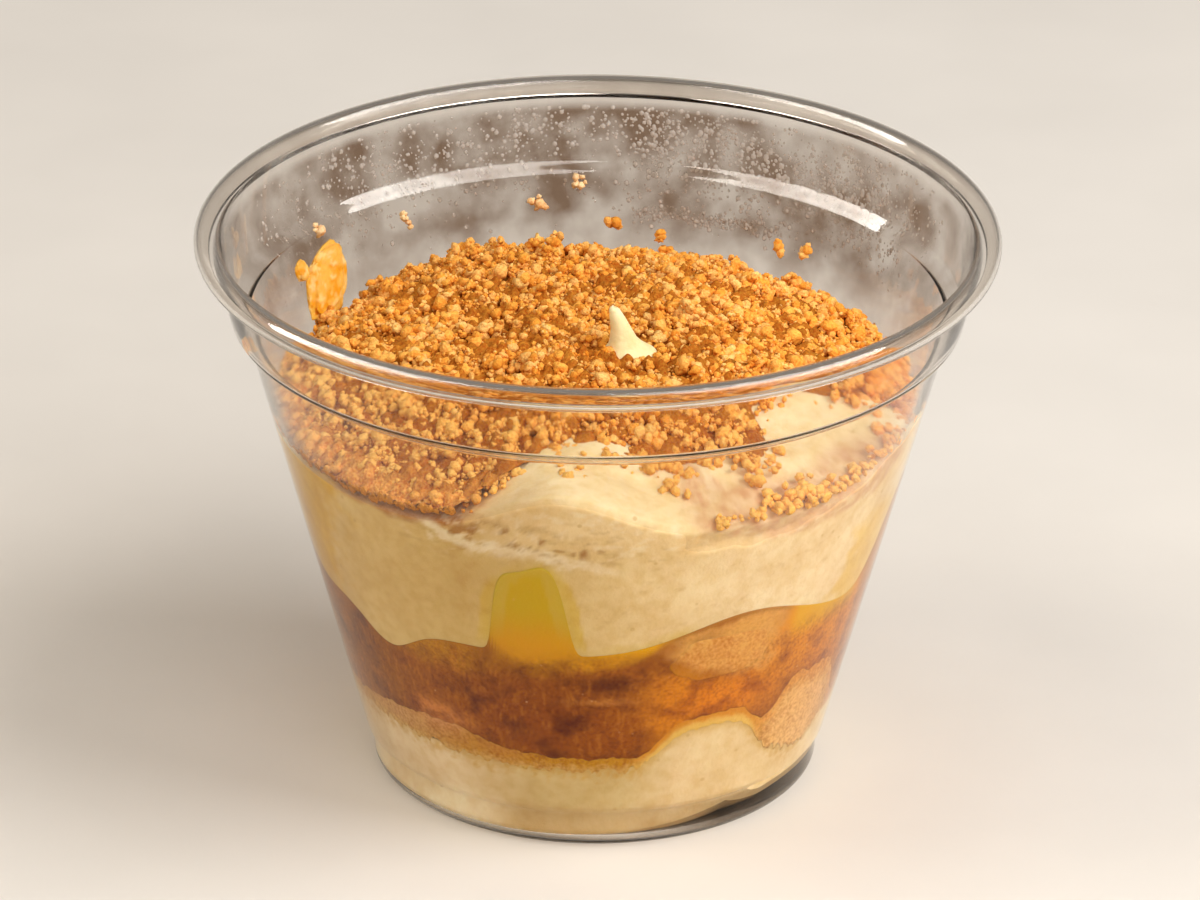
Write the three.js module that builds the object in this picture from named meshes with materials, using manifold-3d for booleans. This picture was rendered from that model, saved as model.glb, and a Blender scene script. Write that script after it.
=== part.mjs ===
// A layered dessert in a clear plastic cup: two beds of cream, a band of amber fruit on soaked biscuit,
// a heap of crumbs on top and a peak of cream that stands through them.
// Millimetres, +Z up. The origin is the middle of the cup's foot, and -Y is the front.
import * as THREE from "three";
import { mergeVertices } from "three/addons/utils/BufferGeometryUtils.js";
import Module from "manifold-3d";

const wasm = await Module();
wasm.setup();

// ---- Driving dimensions ------------------------------------------------------------------------
const SEGMENTS = 48; // steps round the cup and every layer in it
const GAP = 0.3; // clearance between neighbours

// Cup, outer faces.
const BASE_RADIUS = 25.6; // ring that it stands on
const RECESS_RADIUS = 22; // raised middle of the base
const RECESS_HEIGHT = 0.6;
const FOOT_RADIUS = 26.7;
const FOOT_HEIGHT = 4.6;
const WALL_LOW_RADIUS = 27.62; // tapered wall, just above the foot
const WALL_LOW_Z = 5.3;
const WALL_HIGH_RADIUS = 41.66; // tapered wall, just under the stacking step
const WALL_HIGH_Z = 57.2;
const BAND_LOW_RADIUS = 43.39; // band above the stacking step
const BAND_LOW_Z = 58.4;
const BAND_HIGH_RADIUS = 45.0;
const BAND_HIGH_Z = 65.6;
const WALL = 0.6; // sheet thickness

const SHOULDER_Z = WALL_LOW_Z + 0.3; // inside, where the foot meets the tapered wall

// Rolled rim: an oval curl, open below next to the band.
const RIM_RADIUS = 47.5;
const RIM_Z = 67.1; // middle of the curl
const CURL_HALF_WIDTH = 1.55;
const CURL_HALF_HEIGHT = 1.35;
const CURL_WALL = 0.5;
const CURL_ANGLES = [180, 135, 90, 45, 0, -56, -112]; // stops short of the band

// Contents: heights at the wall. A swell is a rise or a dip in a height: its middle and half width
// in degrees round the cup, from the front towards +X, and how far it goes up.
const BED_BOTTOM = RECESS_HEIGHT + 0.7 + GAP;
const LOWER_CREAM = 11.8; // top of the lower bed of cream
const LOWER_CREAM_SWELLS = [
  { at: 27, wide: 13, high: 5.2, power: 4 },
  { at: 56, wide: 11, high: -2.8 },
  { at: -60, wide: 20, high: 0.9 },
  { at: 135, wide: 30, high: 2 },
  { at: -140, wide: 26, high: -1.6 },
];
const BISCUIT_DEPTH = 1.7; // soaked biscuit on the lower cream
const BISCUIT_SWELLS = [
  { at: 55, wide: 12, high: 9.5, power: 4 },
  { at: -38, wide: 16, high: 2.4 },
  { at: 150, wide: 26, high: 5 },
  { at: -115, wide: 24, high: 4 },
];
const FRUIT = 28.4; // top of the amber fruit
const FRUIT_SWELLS = [
  { at: -12.5, wide: 7.4, high: 12.4, power: 4 },
  { at: 31, wide: 19, high: 4.4 },
  { at: -47, wide: 9, high: -3.8 },
  { at: -87, wide: 9, high: 15 },
  { at: 77, wide: 8, high: 13 },
  { at: 122, wide: 16, high: -3 },
  { at: 170, wide: 11, high: 7, power: 4 },
  { at: -145, wide: 20, high: 3 },
];
const CREAM_EDGE = 46.2; // top of the upper cream, at the wall
const CREAM_EDGE_SWELLS = [
  { at: -6, wide: 15, high: 5.6 },
  { at: 72, wide: 15, high: 4 },
  { at: 173, wide: 30, high: 1.6 },
  { at: -152, wide: 20, high: 2.4 },
  { at: -88, wide: 18, high: 1.4 },
];
const CREAM_MIDDLE = 52.6; // top of the upper cream, on the axis
const CREAM_RINGS = 4;
const FOLD_Z = 43.4; // above this line the cream stands back from the wall
const FOLD_DEPTH = 1.3;

// Air pocket in the corner of the foot, which the cream doesn't fill.
const POCKET = 0.8;
const POCKET_SWELLS = [{ at: 62, wide: 36, high: 4.2 }];

// Piece of sponge in the fruit, seen against the wall.
const SPONGE_ANGLE = 27;
const SPONGE_MIDDLE = [29.5, 28.3]; // radius and height
const SPONGE_HALF = [7.2, 4.4, 4.6]; // along the wall, across it and up

// Cream peak that stands through the crumbs.
const PEAK_X = 3.3;
const PEAK_Y = -2.6;
const PEAK_FOOT_Z = 51;
const PEAK_PROFILE = [
  [3, 0],
  [2.4, 2.2],
  [1.4, 3.8],
  [0.95, 5.3],
  [0.55, 7.3],
];
const PEAK_HEIGHT = 8.5;
const PEAK_LEAN = -1.5;
const PEAK_TOE = 2.2; // how far the foot of the peak is drawn out towards +X

// Crumbs.
const CRUMB_DEPTH = 1.7;
const CRUMB_RELIEF = 0.45; // half height of the crumbs in the core's surface
const CRUMB_RINGS = 11;
const BARE_PATCHES = [
  { at: -3, wide: 16, high: 0.24, power: 4 },
  { at: 28, wide: 16, high: 0.24, power: 4 },
  { at: 57, wide: 13, high: 0.36, power: 4 },
]; // where the crumbs stop short of the wall, as a share of the radius
const GRAINS = 90;
const GRAIN_RADIUS = [0.8, 1.3];

// Smear of fruit on the wall above the crumbs.
const SMEAR_ANGLE = -123.5;
const SMEAR_LOW_Z = 49.2;
const SMEAR_HIGH_Z = 55.2;
const SMEAR_HALF_WIDTH = 3.3;
const SMEAR_DEPTH = 1.2;

// ---- Helpers -----------------------------------------------------------------------------------
const rad = THREE.MathUtils.degToRad;
const random = seededRandom(7);

function seededRandom(seed) {
  let state = seed;
  return () => {
    state = (state * 1664525 + 1013904223) % 4294967296;
    return state / 4294967296;
  };
}

function between([low, high]) {
  return low + (high - low) * random();
}

// A base value with its swells at an angle round the cup.
function withSwells(base, swells, angle) {
  let value = base;
  for (const { at, wide, high, power = 2 } of swells) {
    const away = Math.abs(THREE.MathUtils.euclideanModulo(angle - at + 180, 360) - 180);
    value += high * Math.exp(-((away / wide) ** power));
  }
  return value;
}

// Inside radius of the cup at a height, less the clearance.
function fillRadius(z) {
  const inner = [
    [RECESS_HEIGHT, FOOT_RADIUS - WALL],
    [FOOT_HEIGHT, FOOT_RADIUS - WALL],
    [SHOULDER_Z, WALL_LOW_RADIUS - WALL],
    [WALL_HIGH_Z, WALL_HIGH_RADIUS - WALL],
  ];
  let i = 0;
  while (i < inner.length - 2 && z > inner[i + 1][0]) i++;
  const [lowZ, lowRadius] = inner[i];
  const [highZ, highRadius] = inner[i + 1];
  const share = THREE.MathUtils.clamp((z - lowZ) / (highZ - lowZ), 0, 1);
  return THREE.MathUtils.lerp(lowRadius, highRadius, share) - GAP;
}

// Low, slow unevenness of the inner boundaries.
function unevenness(x, y, size) {
  return Math.sin(x / size + 1.3) * Math.cos(y / (size * 1.2) - 0.4);
}

// The swells belong to the wall: a boundary flattens towards the axis.
function boundary(base, swells, share, angle) {
  const nearWall = THREE.MathUtils.smoothstep(share, 0.45, 1);
  return base + (withSwells(base, swells, angle) - base) * nearWall;
}

const lowerCreamTop = (share, angle) => boundary(LOWER_CREAM, LOWER_CREAM_SWELLS, share, angle);

function biscuitTop(share, angle) {
  return lowerCreamTop(share, angle) + boundary(BISCUIT_DEPTH, BISCUIT_SWELLS, share, angle);
}

const fruitTop = (share, angle) => boundary(FRUIT, FRUIT_SWELLS, share, angle);

function upperCreamTop(share, angle) {
  const edge = withSwells(CREAM_EDGE, CREAM_EDGE_SWELLS, angle);
  const dome = edge + (CREAM_MIDDLE - edge) * (1 - share ** 2.4);
  const x = share * 40 * Math.sin(rad(angle));
  const y = -share * 40 * Math.cos(rad(angle));
  return dome + 0.5 * unevenness(x, y, 7) * share * (1 - share) * 4;
}

// A closed lattice of revolution whose rows are then placed by a rule.
// rows: [share of the radius, row key]; place(share, key, angle) gives [radius, height].
function lattice(rows, place) {
  const profile = rows.map(([share], i) => new THREE.Vector2(share, i));
  const geometry = new THREE.LatheGeometry(profile, SEGMENTS);
  geometry.rotateX(Math.PI / 2);
  const points = geometry.getAttribute("position");
  for (let i = 0; i < points.count; i++) {
    const row = rows[Math.round(points.getZ(i))];
    const share = row[0];
    const angle = share ? Math.atan2(points.getX(i), -points.getY(i)) : 0;
    const [radius, height] = place(share, row[1], THREE.MathUtils.radToDeg(angle));
    points.setXYZ(i, radius * Math.sin(angle), -radius * Math.cos(angle), height);
  }
  return geometry;
}

function solidOf(geometry) {
  const bare = new THREE.BufferGeometry();
  bare.setAttribute("position", geometry.getAttribute("position"));
  bare.setIndex(geometry.getIndex());
  const merged = mergeVertices(bare, 1e-3);
  const corners = merged.getIndex().array;
  const kept = [];
  for (let i = 0; i < corners.length; i += 3) {
    const [a, b, c] = corners.slice(i, i + 3);
    if (a !== b && b !== c && c !== a) kept.push(a, b, c);
  }
  const vertProperties = merged.getAttribute("position").array;
  const triVerts = new Uint32Array(kept);
  return new wasm.Manifold(new wasm.Mesh({ numProp: 3, vertProperties, triVerts }));
}

function geometryOf(solid) {
  const { vertProperties, triVerts } = solid.getMesh();
  const geometry = new THREE.BufferGeometry();
  geometry.setAttribute("position", new THREE.BufferAttribute(vertProperties, 3));
  geometry.setIndex(new THREE.BufferAttribute(triVerts, 1));
  return geometry;
}

// Scraps that a cut leaves loose are dropped.
function largestBody(solid) {
  return solid.decompose().sort((a, b) => b.volume() - a.volume())[0];
}

function surface(color, roughness, more = {}) {
  return new THREE.MeshStandardMaterial({ color, roughness, metalness: 0, ...more });
}

const dessert = new THREE.Group();

function addPiece(name, geometry, material) {
  const mesh = new THREE.Mesh(geometry, material);
  mesh.name = name;
  dessert.add(mesh);
}

// Rows from one share of the radius to another, all with one key.
function rowsBetween(from, to, steps, key) {
  return Array.from({ length: steps + 1 }, (_, i) => [from + ((to - from) * i) / steps, key]);
}

// ---- Cup ---------------------------------------------------------------------------------------
function curlPoint(degrees, inset) {
  const middle = RIM_RADIUS - CURL_HALF_WIDTH;
  const across = (CURL_HALF_WIDTH - inset) * Math.cos(rad(degrees));
  const up = (CURL_HALF_HEIGHT - inset) * Math.sin(rad(degrees));
  return [middle + across, RIM_Z + up];
}

function cupGeometry() {
  const outside = [
    [0, RECESS_HEIGHT],
    [RECESS_RADIUS, RECESS_HEIGHT],
    [RECESS_RADIUS + 1, 0],
    [BASE_RADIUS, 0],
    [FOOT_RADIUS - 0.15, 0.9],
    [FOOT_RADIUS, FOOT_HEIGHT],
    [WALL_LOW_RADIUS, WALL_LOW_Z],
    [WALL_HIGH_RADIUS, WALL_HIGH_Z],
    [BAND_LOW_RADIUS, BAND_LOW_Z],
    [BAND_HIGH_RADIUS, BAND_HIGH_Z],
  ];
  const underCurl = CURL_ANGLES.map((degrees) => curlPoint(degrees, CURL_WALL));
  const overCurl = CURL_ANGLES.map((degrees) => curlPoint(degrees, 0)).reverse();
  const inside = [
    [BAND_HIGH_RADIUS - WALL, BAND_HIGH_Z],
    [BAND_LOW_RADIUS - WALL, BAND_LOW_Z + 0.3],
    [WALL_HIGH_RADIUS - WALL, WALL_HIGH_Z + 0.3],
    [WALL_LOW_RADIUS - WALL, SHOULDER_Z],
    [FOOT_RADIUS - WALL, FOOT_HEIGHT],
    [FOOT_RADIUS - WALL, 1.7],
    [BASE_RADIUS - 0.3, 0.7],
    [RECESS_RADIUS + 1, 0.7],
    [RECESS_RADIUS, RECESS_HEIGHT + 0.7],
    [0, RECESS_HEIGHT + 0.7],
  ];
  const outline = [...outside, ...underCurl, ...overCurl, ...inside];
  const profile = outline.map(([r, z]) => new THREE.Vector2(r, z));
  const geometry = new THREE.LatheGeometry(profile, SEGMENTS);
  geometry.rotateX(Math.PI / 2);
  return geometry;
}

// ---- Layers ------------------------------------------------------------------------------------
// All the cream, biscuit and fruit in one solid, with the air pocket in the foot and the fold near the top.
function fillSolid() {
  const rows = [[0, "floor"], [1, "floor"], [1, 0], [1, FOOT_HEIGHT], [1, SHOULDER_Z]];
  rows.push([1, "fold"], [1, "recess"], ...rowsBetween(1, 0, CREAM_RINGS, "top"));
  return solidOf(
    lattice(rows, (share, key, angle) => {
      const pocket = withSwells(POCKET, POCKET_SWELLS, angle);
      if (key === "floor") return [share * (fillRadius(BED_BOTTOM) - pocket * 1.3), BED_BOTTOM];
      if (key === "fold") return [fillRadius(FOLD_Z), FOLD_Z];
      if (key === "recess") return [fillRadius(FOLD_Z) - FOLD_DEPTH, FOLD_Z + 1];
      if (key === "top") {
        const height = upperCreamTop(share, angle);
        return [share * (fillRadius(height) - FOLD_DEPTH / 2), height];
      }
      const side = Math.max(key, BED_BOTTOM + pocket);
      return [fillRadius(side), side];
    }),
  );
}

// Everything below a boundary, out past the wall, raised by a clearance.
function below(boundaryOf, raised, rings = 4) {
  const rows = [[0, "low"], [1.2, "low"], [1.2, "top"], ...rowsBetween(1.02, 0, rings, "top")];
  return solidOf(
    lattice(rows, (share, key, angle) => {
      const height = boundaryOf(Math.min(share, 1), angle) + raised;
      return [share * fillRadius(height), key === "low" ? -1 : height];
    }),
  );
}

function layerSolid(fill, lowerBoundary, upperBoundary) {
  const upTo = fill.intersect(below(upperBoundary, -GAP / 2));
  return lowerBoundary ? upTo.subtract(below(lowerBoundary, GAP / 2)) : upTo;
}

// The peak, or with extra the hole that leaves it free.
function peakSolid(extra) {
  const profile = [[0, -extra], ...PEAK_PROFILE, [0, PEAK_HEIGHT + extra * 2]];
  const points = profile.map(([r, z]) => new THREE.Vector2(r ? r + extra : 0, z));
  const geometry = new THREE.LatheGeometry(points, 8);
  geometry.rotateX(Math.PI / 2);
  const place = geometry.getAttribute("position");
  for (let i = 0; i < place.count; i++) {
    const up = place.getZ(i) / PEAK_HEIGHT;
    const lean = PEAK_LEAN * Math.max(up, 0) ** 2;
    const toe = place.getX(i) > 0 ? PEAK_TOE * (1 - up) * (place.getX(i) / 4) : 0;
    place.setX(i, place.getX(i) + lean + toe);
  }
  geometry.translate(PEAK_X, PEAK_Y, PEAK_FOOT_Z);
  return solidOf(geometry);
}

// A rounded block laid along the wall.
function spongeSolid(extra) {
  const geometry = new THREE.SphereGeometry(1, 12, 7);
  const place = geometry.getAttribute("position");
  const square = (value) => Math.sign(value) * Math.abs(value) ** 0.72;
  for (let i = 0; i < place.count; i++) {
    const x = square(place.getX(i)) * (SPONGE_HALF[0] + extra);
    const y = square(place.getZ(i)) * (SPONGE_HALF[1] + extra);
    const z = square(place.getY(i)) * (SPONGE_HALF[2] + extra);
    place.setXYZ(i, x, -y, z);
  }
  geometry.translate(0, -SPONGE_MIDDLE[0], SPONGE_MIDDLE[1]);
  geometry.rotateZ(rad(SPONGE_ANGLE));
  return solidOf(geometry);
}

// ---- Crumbs ------------------------------------------------------------------------------------
const crumbReach = (angle) => 1 - withSwells(0, BARE_PATCHES, angle);

function crumbTop(share, angle) {
  return upperCreamTop(share * crumbReach(angle), angle) + CRUMB_DEPTH - 0.5 * share ** 4;
}

function grainSolid(x, y, z, radius) {
  const geometry = new THREE.IcosahedronGeometry(radius, 0);
  const bare = new THREE.BufferGeometry().setAttribute("position", geometry.getAttribute("position"));
  const merged = mergeVertices(bare, 1e-3);
  const place = merged.getAttribute("position");
  for (let i = 0; i < place.count; i++) {
    const size = between([0.8, 1.15]);
    place.setXYZ(i, place.getX(i) * size, place.getY(i) * size, place.getZ(i) * size);
  }
  merged.rotateX(random() * Math.PI);
  merged.rotateZ(random() * Math.PI);
  merged.translate(x, y, z);
  return solidOf(merged);
}

function toppingSolid() {
  const rows = [...rowsBetween(0, 1, 2, "bottom"), ...rowsBetween(1, 0, CRUMB_RINGS, "top")];
  const spots = (CRUMB_RINGS + 1) * SEGMENTS;
  const relief = Array.from({ length: spots }, () => CRUMB_RELIEF * (2 * random() - 1));
  let heap = solidOf(
    lattice(rows, (share, key, angle) => {
      const reach = share * crumbReach(angle);
      const low = upperCreamTop(reach, angle);
      if (key === "bottom") return [reach * fillRadius(low - 2.5), low - 2.5];
      const radius = reach * (fillRadius(low) - 0.2);
      const turn = THREE.MathUtils.euclideanModulo(angle, 360) / 360;
      const step = Math.round(turn * SEGMENTS) % SEGMENTS;
      const ring = Math.round(share * CRUMB_RINGS);
      const bump = share ? relief[ring * SEGMENTS + step] : 0;
      return [radius, crumbTop(share, angle) + bump];
    }),
  );
  for (let i = 0; i < GRAINS; i++) {
    const share = Math.sqrt((i + 0.5) / GRAINS);
    const angle = THREE.MathUtils.euclideanModulo(i * 137.508 + 4 * random(), 360);
    const size = between(GRAIN_RADIUS);
    const height = crumbTop(share, angle) + 0.2 * size;
    const radius = Math.min(share * crumbReach(angle) * fillRadius(height), fillRadius(height) - size * 1.2);
    const x = radius * Math.sin(rad(angle));
    const y = -radius * Math.cos(rad(angle));
    heap = heap.add(grainSolid(x, y, height, size));
  }
  const bed = below(upperCreamTop, GAP, CREAM_RINGS);
  return largestBody(heap.subtract(bed).subtract(peakSolid(GAP + 0.1)));
}

// ---- Smear -------------------------------------------------------------------------------------
function smearGeometry() {
  const half = (SMEAR_HIGH_Z - SMEAR_LOW_Z) / 2;
  const geometry = new THREE.SphereGeometry(1, 12, 8);
  const place = geometry.getAttribute("position");
  for (let i = 0; i < place.count; i++) {
    const height = SMEAR_LOW_Z + half + place.getY(i) * half;
    const along = -place.getX(i) * SMEAR_HALF_WIDTH * (1 - 0.2 * place.getY(i));
    const inward = Math.max(place.getZ(i), -0.2) * SMEAR_DEPTH * 0.8 + 0.2 * SMEAR_DEPTH;
    const radius = fillRadius(height) - inward;
    const angle = rad(SMEAR_ANGLE) + along / radius;
    place.setXYZ(i, radius * Math.sin(angle), -radius * Math.cos(angle), height);
  }
  return geometry;
}

// ---- The whole ---------------------------------------------------------------------------------
const fill = fillSolid();
const lowerCream = layerSolid(fill, null, lowerCreamTop);
const biscuit = layerSolid(fill, lowerCreamTop, biscuitTop);
const fruit = layerSolid(fill, biscuitTop, fruitTop);
const upperCream = fill.subtract(below(fruitTop, GAP / 2)).add(peakSolid(0));
const creamFinish = surface(0xf2dcae, 0.55);

addPiece("cup", cupGeometry(), surface(0xf4f2ee, 0.08, { transparent: true, opacity: 0.3 }));
addPiece("cream_lower", geometryOf(lowerCream), creamFinish);
addPiece("biscuit_layer", geometryOf(biscuit), surface(0xc98a3c, 0.8));
addPiece("fruit_layer", geometryOf(fruit.subtract(spongeSolid(GAP))), surface(0xb5640a, 0.3));
addPiece("sponge_piece", geometryOf(fruit.intersect(spongeSolid(0))), surface(0xd99a5c, 0.8));
addPiece("cream_upper", geometryOf(upperCream), creamFinish);
addPiece("crumb_topping", geometryOf(toppingSolid()), surface(0xe0a050, 0.85));
addPiece("fruit_smear", smearGeometry(), surface(0xe0a030, 0.35));

export default dessert;
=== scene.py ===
# %% [markdown]
# # A layered dessert in a clear cup
# The real thing is a squat clear PET cup, filled by hand: a bed of cream, soaked biscuit, amber fruit,
# cream again, and a scatter of baked crumbs with one peak of cream standing through them.
# The solids of the construction are loaded first and stay where they are. Every piece below is made in
# the same frame, in metres, with +Z up and the front towards -Y.

# %% Load the frame
import math
from functools import partial

import bmesh
import bpy
import numpy as np
from mathutils import Matrix, Vector, noise


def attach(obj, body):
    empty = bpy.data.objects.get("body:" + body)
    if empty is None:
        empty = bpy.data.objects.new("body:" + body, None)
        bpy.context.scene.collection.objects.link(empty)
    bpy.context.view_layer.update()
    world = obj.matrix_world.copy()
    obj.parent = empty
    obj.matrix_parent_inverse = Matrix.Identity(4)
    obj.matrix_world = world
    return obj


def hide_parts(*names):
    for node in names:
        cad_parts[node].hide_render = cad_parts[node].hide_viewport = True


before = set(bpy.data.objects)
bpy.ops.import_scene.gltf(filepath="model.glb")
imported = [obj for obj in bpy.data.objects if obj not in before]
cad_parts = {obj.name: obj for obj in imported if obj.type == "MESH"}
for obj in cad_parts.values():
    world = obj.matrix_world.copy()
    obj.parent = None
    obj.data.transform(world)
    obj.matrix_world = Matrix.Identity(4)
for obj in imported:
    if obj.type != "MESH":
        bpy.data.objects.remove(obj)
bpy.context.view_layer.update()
MM = 0.001

# %% [markdown]
# ## The camera
# The photo was taken from some way off, a little above the cup, so its ellipses are nearly those of a
# parallel view. A long lens at about a metre gives the same. The cup stands a hair left of the middle
# and the camera was tipped by a third of a degree, so both are set here.

# %% Camera
CAMERA_BACK = 968.7 * MM
CAMERA_UP = 492.6 * MM
CAMERA_TILT = math.radians(25.07)
CAMERA_ROLL = math.radians(0.37)
PHOTO_WIDTH = 1200
CUP_MIDDLE_PX = 596.5
LENS = 270.0
SENSOR = 36.0

camera_data = bpy.data.cameras.new("camera")
camera_data.sensor_width = SENSOR
camera_data.lens = LENS
camera_data.shift_x = (PHOTO_WIDTH / 2 - CUP_MIDDLE_PX) / PHOTO_WIDTH
camera = bpy.data.objects.new("camera", camera_data)
camera.location = (0, -CAMERA_BACK, CAMERA_UP)
looking = Matrix.Rotation(math.pi / 2 - CAMERA_TILT, 3, "X") @ Matrix.Rotation(CAMERA_ROLL, 3, "Z")
camera.rotation_euler = looking.to_euler()
bpy.context.collection.objects.link(camera)
bpy.context.scene.camera = camera
print("lens", LENS, "mm, shift", round(camera_data.shift_x, 4))

# %% [markdown]
# ## The studio
# Clear plastic shows only what it mirrors and bends. A soft light at the right is the key, a weaker one
# at the left keeps the dark side open, and one from the front lights the layers through the wall. Two
# long strips above draw the bright arcs on the stacking step, and they shine on the plastic alone.

# %% Places and lights round the cup
scene = bpy.context.scene
scene.view_settings.view_transform = "Standard"
CUP_HEART = Vector((0, 0, 0.04))
GLINT_WATTS = 31


def towards(turn, rise):
    """A direction out of the cup, at an angle round it from the front and an angle up."""
    turn, rise = math.radians(turn), math.radians(rise)
    return Vector((math.sin(turn) * math.cos(rise), -math.cos(turn) * math.cos(rise), math.sin(rise)))


def hang_light(name, where, turned_to, size, watts, colour):
    """A rectangle of light at a place, turned so that it shines along its own -Z."""
    data = bpy.data.lights.new(name, "AREA")
    data.shape = "RECTANGLE"
    data.size, data.size_y = size
    data.energy = watts
    data.color = colour
    light = bpy.data.objects.new(name, data)
    light.location = where
    light.rotation_euler = turned_to.to_euler()
    bpy.context.collection.objects.link(light)
    return light


def soft_light(name, turn, rise, away, size, watts, colour):
    """A soft box that faces the cup."""
    out = towards(turn, rise)
    return hang_light(name, CUP_HEART + out * away, out.to_track_quat("Z", "Y"), size, watts, colour)


def strip_light(name, start, end, away, width, watts, colour):
    """A long light between two places (turn, rise) round the cup, facing it."""
    first, last = CUP_HEART + towards(*start) * away, CUP_HEART + towards(*end) * away
    along = (last - first).normalized()
    outwards = ((first + last) / 2 - CUP_HEART).normalized()
    facing = (outwards - along * outwards.dot(along)).normalized()
    turned_to = Matrix((along, facing.cross(along), facing)).transposed()
    return hang_light(name, (first + last) / 2, turned_to, ((last - first).length, width), watts, colour)


soft_light("key", 72, 42, 0.95, (0.62, 0.5), 8.4, (1.0, 0.97, 0.93))
soft_light("fill", -80, 46, 0.9, (0.36, 0.4), 2.8, (1.0, 0.9, 0.76))
soft_light("front", 22, 34, 1.15, (0.7, 0.5), 4.6, (1.0, 0.96, 0.9))
glint_lights = [
    strip_light("glint_right", (50, 80), (116, 48), 0.95, 0.5, GLINT_WATTS, (1.0, 0.98, 0.95)),
    strip_light("glint_left", (-88, 68), (-126, 40), 0.95, 0.5, GLINT_WATTS, (1.0, 0.96, 0.9)),
]
print("lights:", len(bpy.data.lights))

# %% Colours
def linear(hex_colour):
    """sRGB hex to a linear colour."""
    parts = [int(hex_colour[i : i + 2], 16) / 255 for i in (1, 3, 5)]
    return tuple(c / 12.92 if c <= 0.04045 else ((c + 0.055) / 1.055) ** 2.4 for c in parts) + (1.0,)


print("mid grey in linear light:", round(linear("#808080")[0], 3))

# %% Sky of the studio
SKY_STRENGTH = 0.42
world = bpy.data.worlds.new("studio")
world.use_nodes = True
sky = world.node_tree.nodes["Background"].inputs
sky["Color"].default_value = linear("#CFC6BC")
sky["Strength"].default_value = SKY_STRENGTH
scene.world = world
print("sky strength:", SKY_STRENGTH)


# %% Materials from nodes
def add_node(material, kind, settings, output=0):
    """Adds a node of a kind such as TexNoise, sets or joins what settings name, and returns an output."""
    node = material.node_tree.nodes.new("ShaderNode" + kind)
    for name, value in settings.items():
        if name == "ramp":
            elements = node.color_ramp.elements
            while len(elements) < len(value):
                elements.new(0.5)
            for element, (place, colour) in zip(elements, value):
                element.position = place
                element.color = linear(colour) if isinstance(colour, str) else (colour, colour, colour, 1)
        elif isinstance(value, bpy.types.NodeSocket):
            material.node_tree.links.new(value, node.inputs[name])
        elif isinstance(name, int) or name in node.inputs:
            node.inputs[name].default_value = value
        else:
            setattr(node, name, value)
    return node.outputs[output] if node.outputs else None


def new_material(name):
    """An empty node material, what adds nodes to it, and Object coordinates in metres."""
    material = bpy.data.materials.new(name)
    material.use_nodes = True
    material.node_tree.nodes.clear()
    add = partial(add_node, material)
    return material, add, add("TexCoord", {}, "Object")


def surfaced(material, shader):
    """Gives a material its surface, and hands it back."""
    add_node(material, "OutputMaterial", {"Surface": shader})
    return material


def sized(size_mm, place, detail=0.0):
    """Settings of a pattern whose grains have a real size."""
    return {"Scale": 1 / (size_mm * MM), "Detail": detail, "Vector": place}


def mottled(add, place, base, share, size_mm, detail, ramp):
    """A colour multiplied by the tones of a noise with grains of a real size."""
    grain = add("TexNoise", sized(size_mm, place, detail))
    tones = add("ValToRGB", {"ramp": ramp, "Fac": grain})
    return add("Mix", {"data_type": "RGBA", "blend_type": "MULTIPLY", 0: share, 6: base, 7: tones}, 2)


print("grains of 1 mm in a metre:", round(sized(1, None)["Scale"]))


# %% Paper for the floor
PAPER_MOTTLE_MM = 40
paper, add, place = new_material("pale_studio_paper")
mottle = add("TexNoise", sized(PAPER_MOTTLE_MM, place, 3.0))
paper_tone = add("ValToRGB", {"ramp": [(0.3, "#DEDBD7"), (0.7, "#E4E1DD")], "Fac": mottle})
surfaced(paper, add("BsdfPrincipled", {"Roughness": 0.7, "Base Color": paper_tone}))
print("paper mottle in mm:", PAPER_MOTTLE_MM)

# %% Floor
FLOOR_HALF = 4.0
floor_mesh = bpy.data.meshes.new("floor")
floor_bm = bmesh.new()
bmesh.ops.create_grid(floor_bm, x_segments=1, y_segments=1, size=FLOOR_HALF)
floor_bm.to_mesh(floor_mesh)
floor_bm.free()
floor = bpy.data.objects.new("floor", floor_mesh)
bpy.context.collection.objects.link(floor)
floor_mesh.materials.append(paper)
print("floor in metres:", 2 * FLOOR_HALF)

# %% [markdown]
# ## Sizes shared by the pieces
# The cup's outline rules everything: the layers lean on its inner face, and each boundary between two
# layers is a height with a few swells round the cup. The same named swells are in the construction, so
# the fine pieces keep the solids' form. Angles are in degrees from the front towards +X.

# %% Outline of the cup
WALL = 0.6
RECESS_HEIGHT = 0.6
FOOT_RADIUS = 26.7
FOOT_HEIGHT = 4.6
WALL_LOW = (27.62, 5.3)
WALL_HIGH = (41.66, 57.2)
BAND_LOW = (43.39, 58.4)
BAND_HIGH = (45.0, 65.6)
FILLET = 0.3
BITE = 0.12  # how far the contents reach into the wall, so that no air shows between


def inner_radius(z):
    """Inside radius of the cup at a height, all in millimetres."""
    heights = [RECESS_HEIGHT, FOOT_HEIGHT, WALL_LOW[1] + FILLET, WALL_HIGH[1]]
    heights += [BAND_LOW[1] + FILLET, BAND_HIGH[1]]
    radii = [FOOT_RADIUS, FOOT_RADIUS, WALL_LOW[0], WALL_HIGH[0], BAND_LOW[0], BAND_HIGH[0]]
    return np.interp(z, heights, np.array(radii) - WALL)


def wet_radius(z):
    """Where the contents end that lie wet against the wall."""
    return inner_radius(z) + BITE


print("inside radius at the foot and the step in mm:", inner_radius([FOOT_HEIGHT, WALL_HIGH[1]]))


# %% Places round the cup
def away_from(angle, middle):
    """Degrees between angles and a middle, the shorter way round."""
    return np.abs((angle - middle + 180) % 360 - 180)


def at_angle(radius, angle):
    """X and Y of a place, from its radius and its angle in degrees from the front."""
    return radius * np.sin(np.radians(angle)), -radius * np.cos(np.radians(angle))


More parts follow.
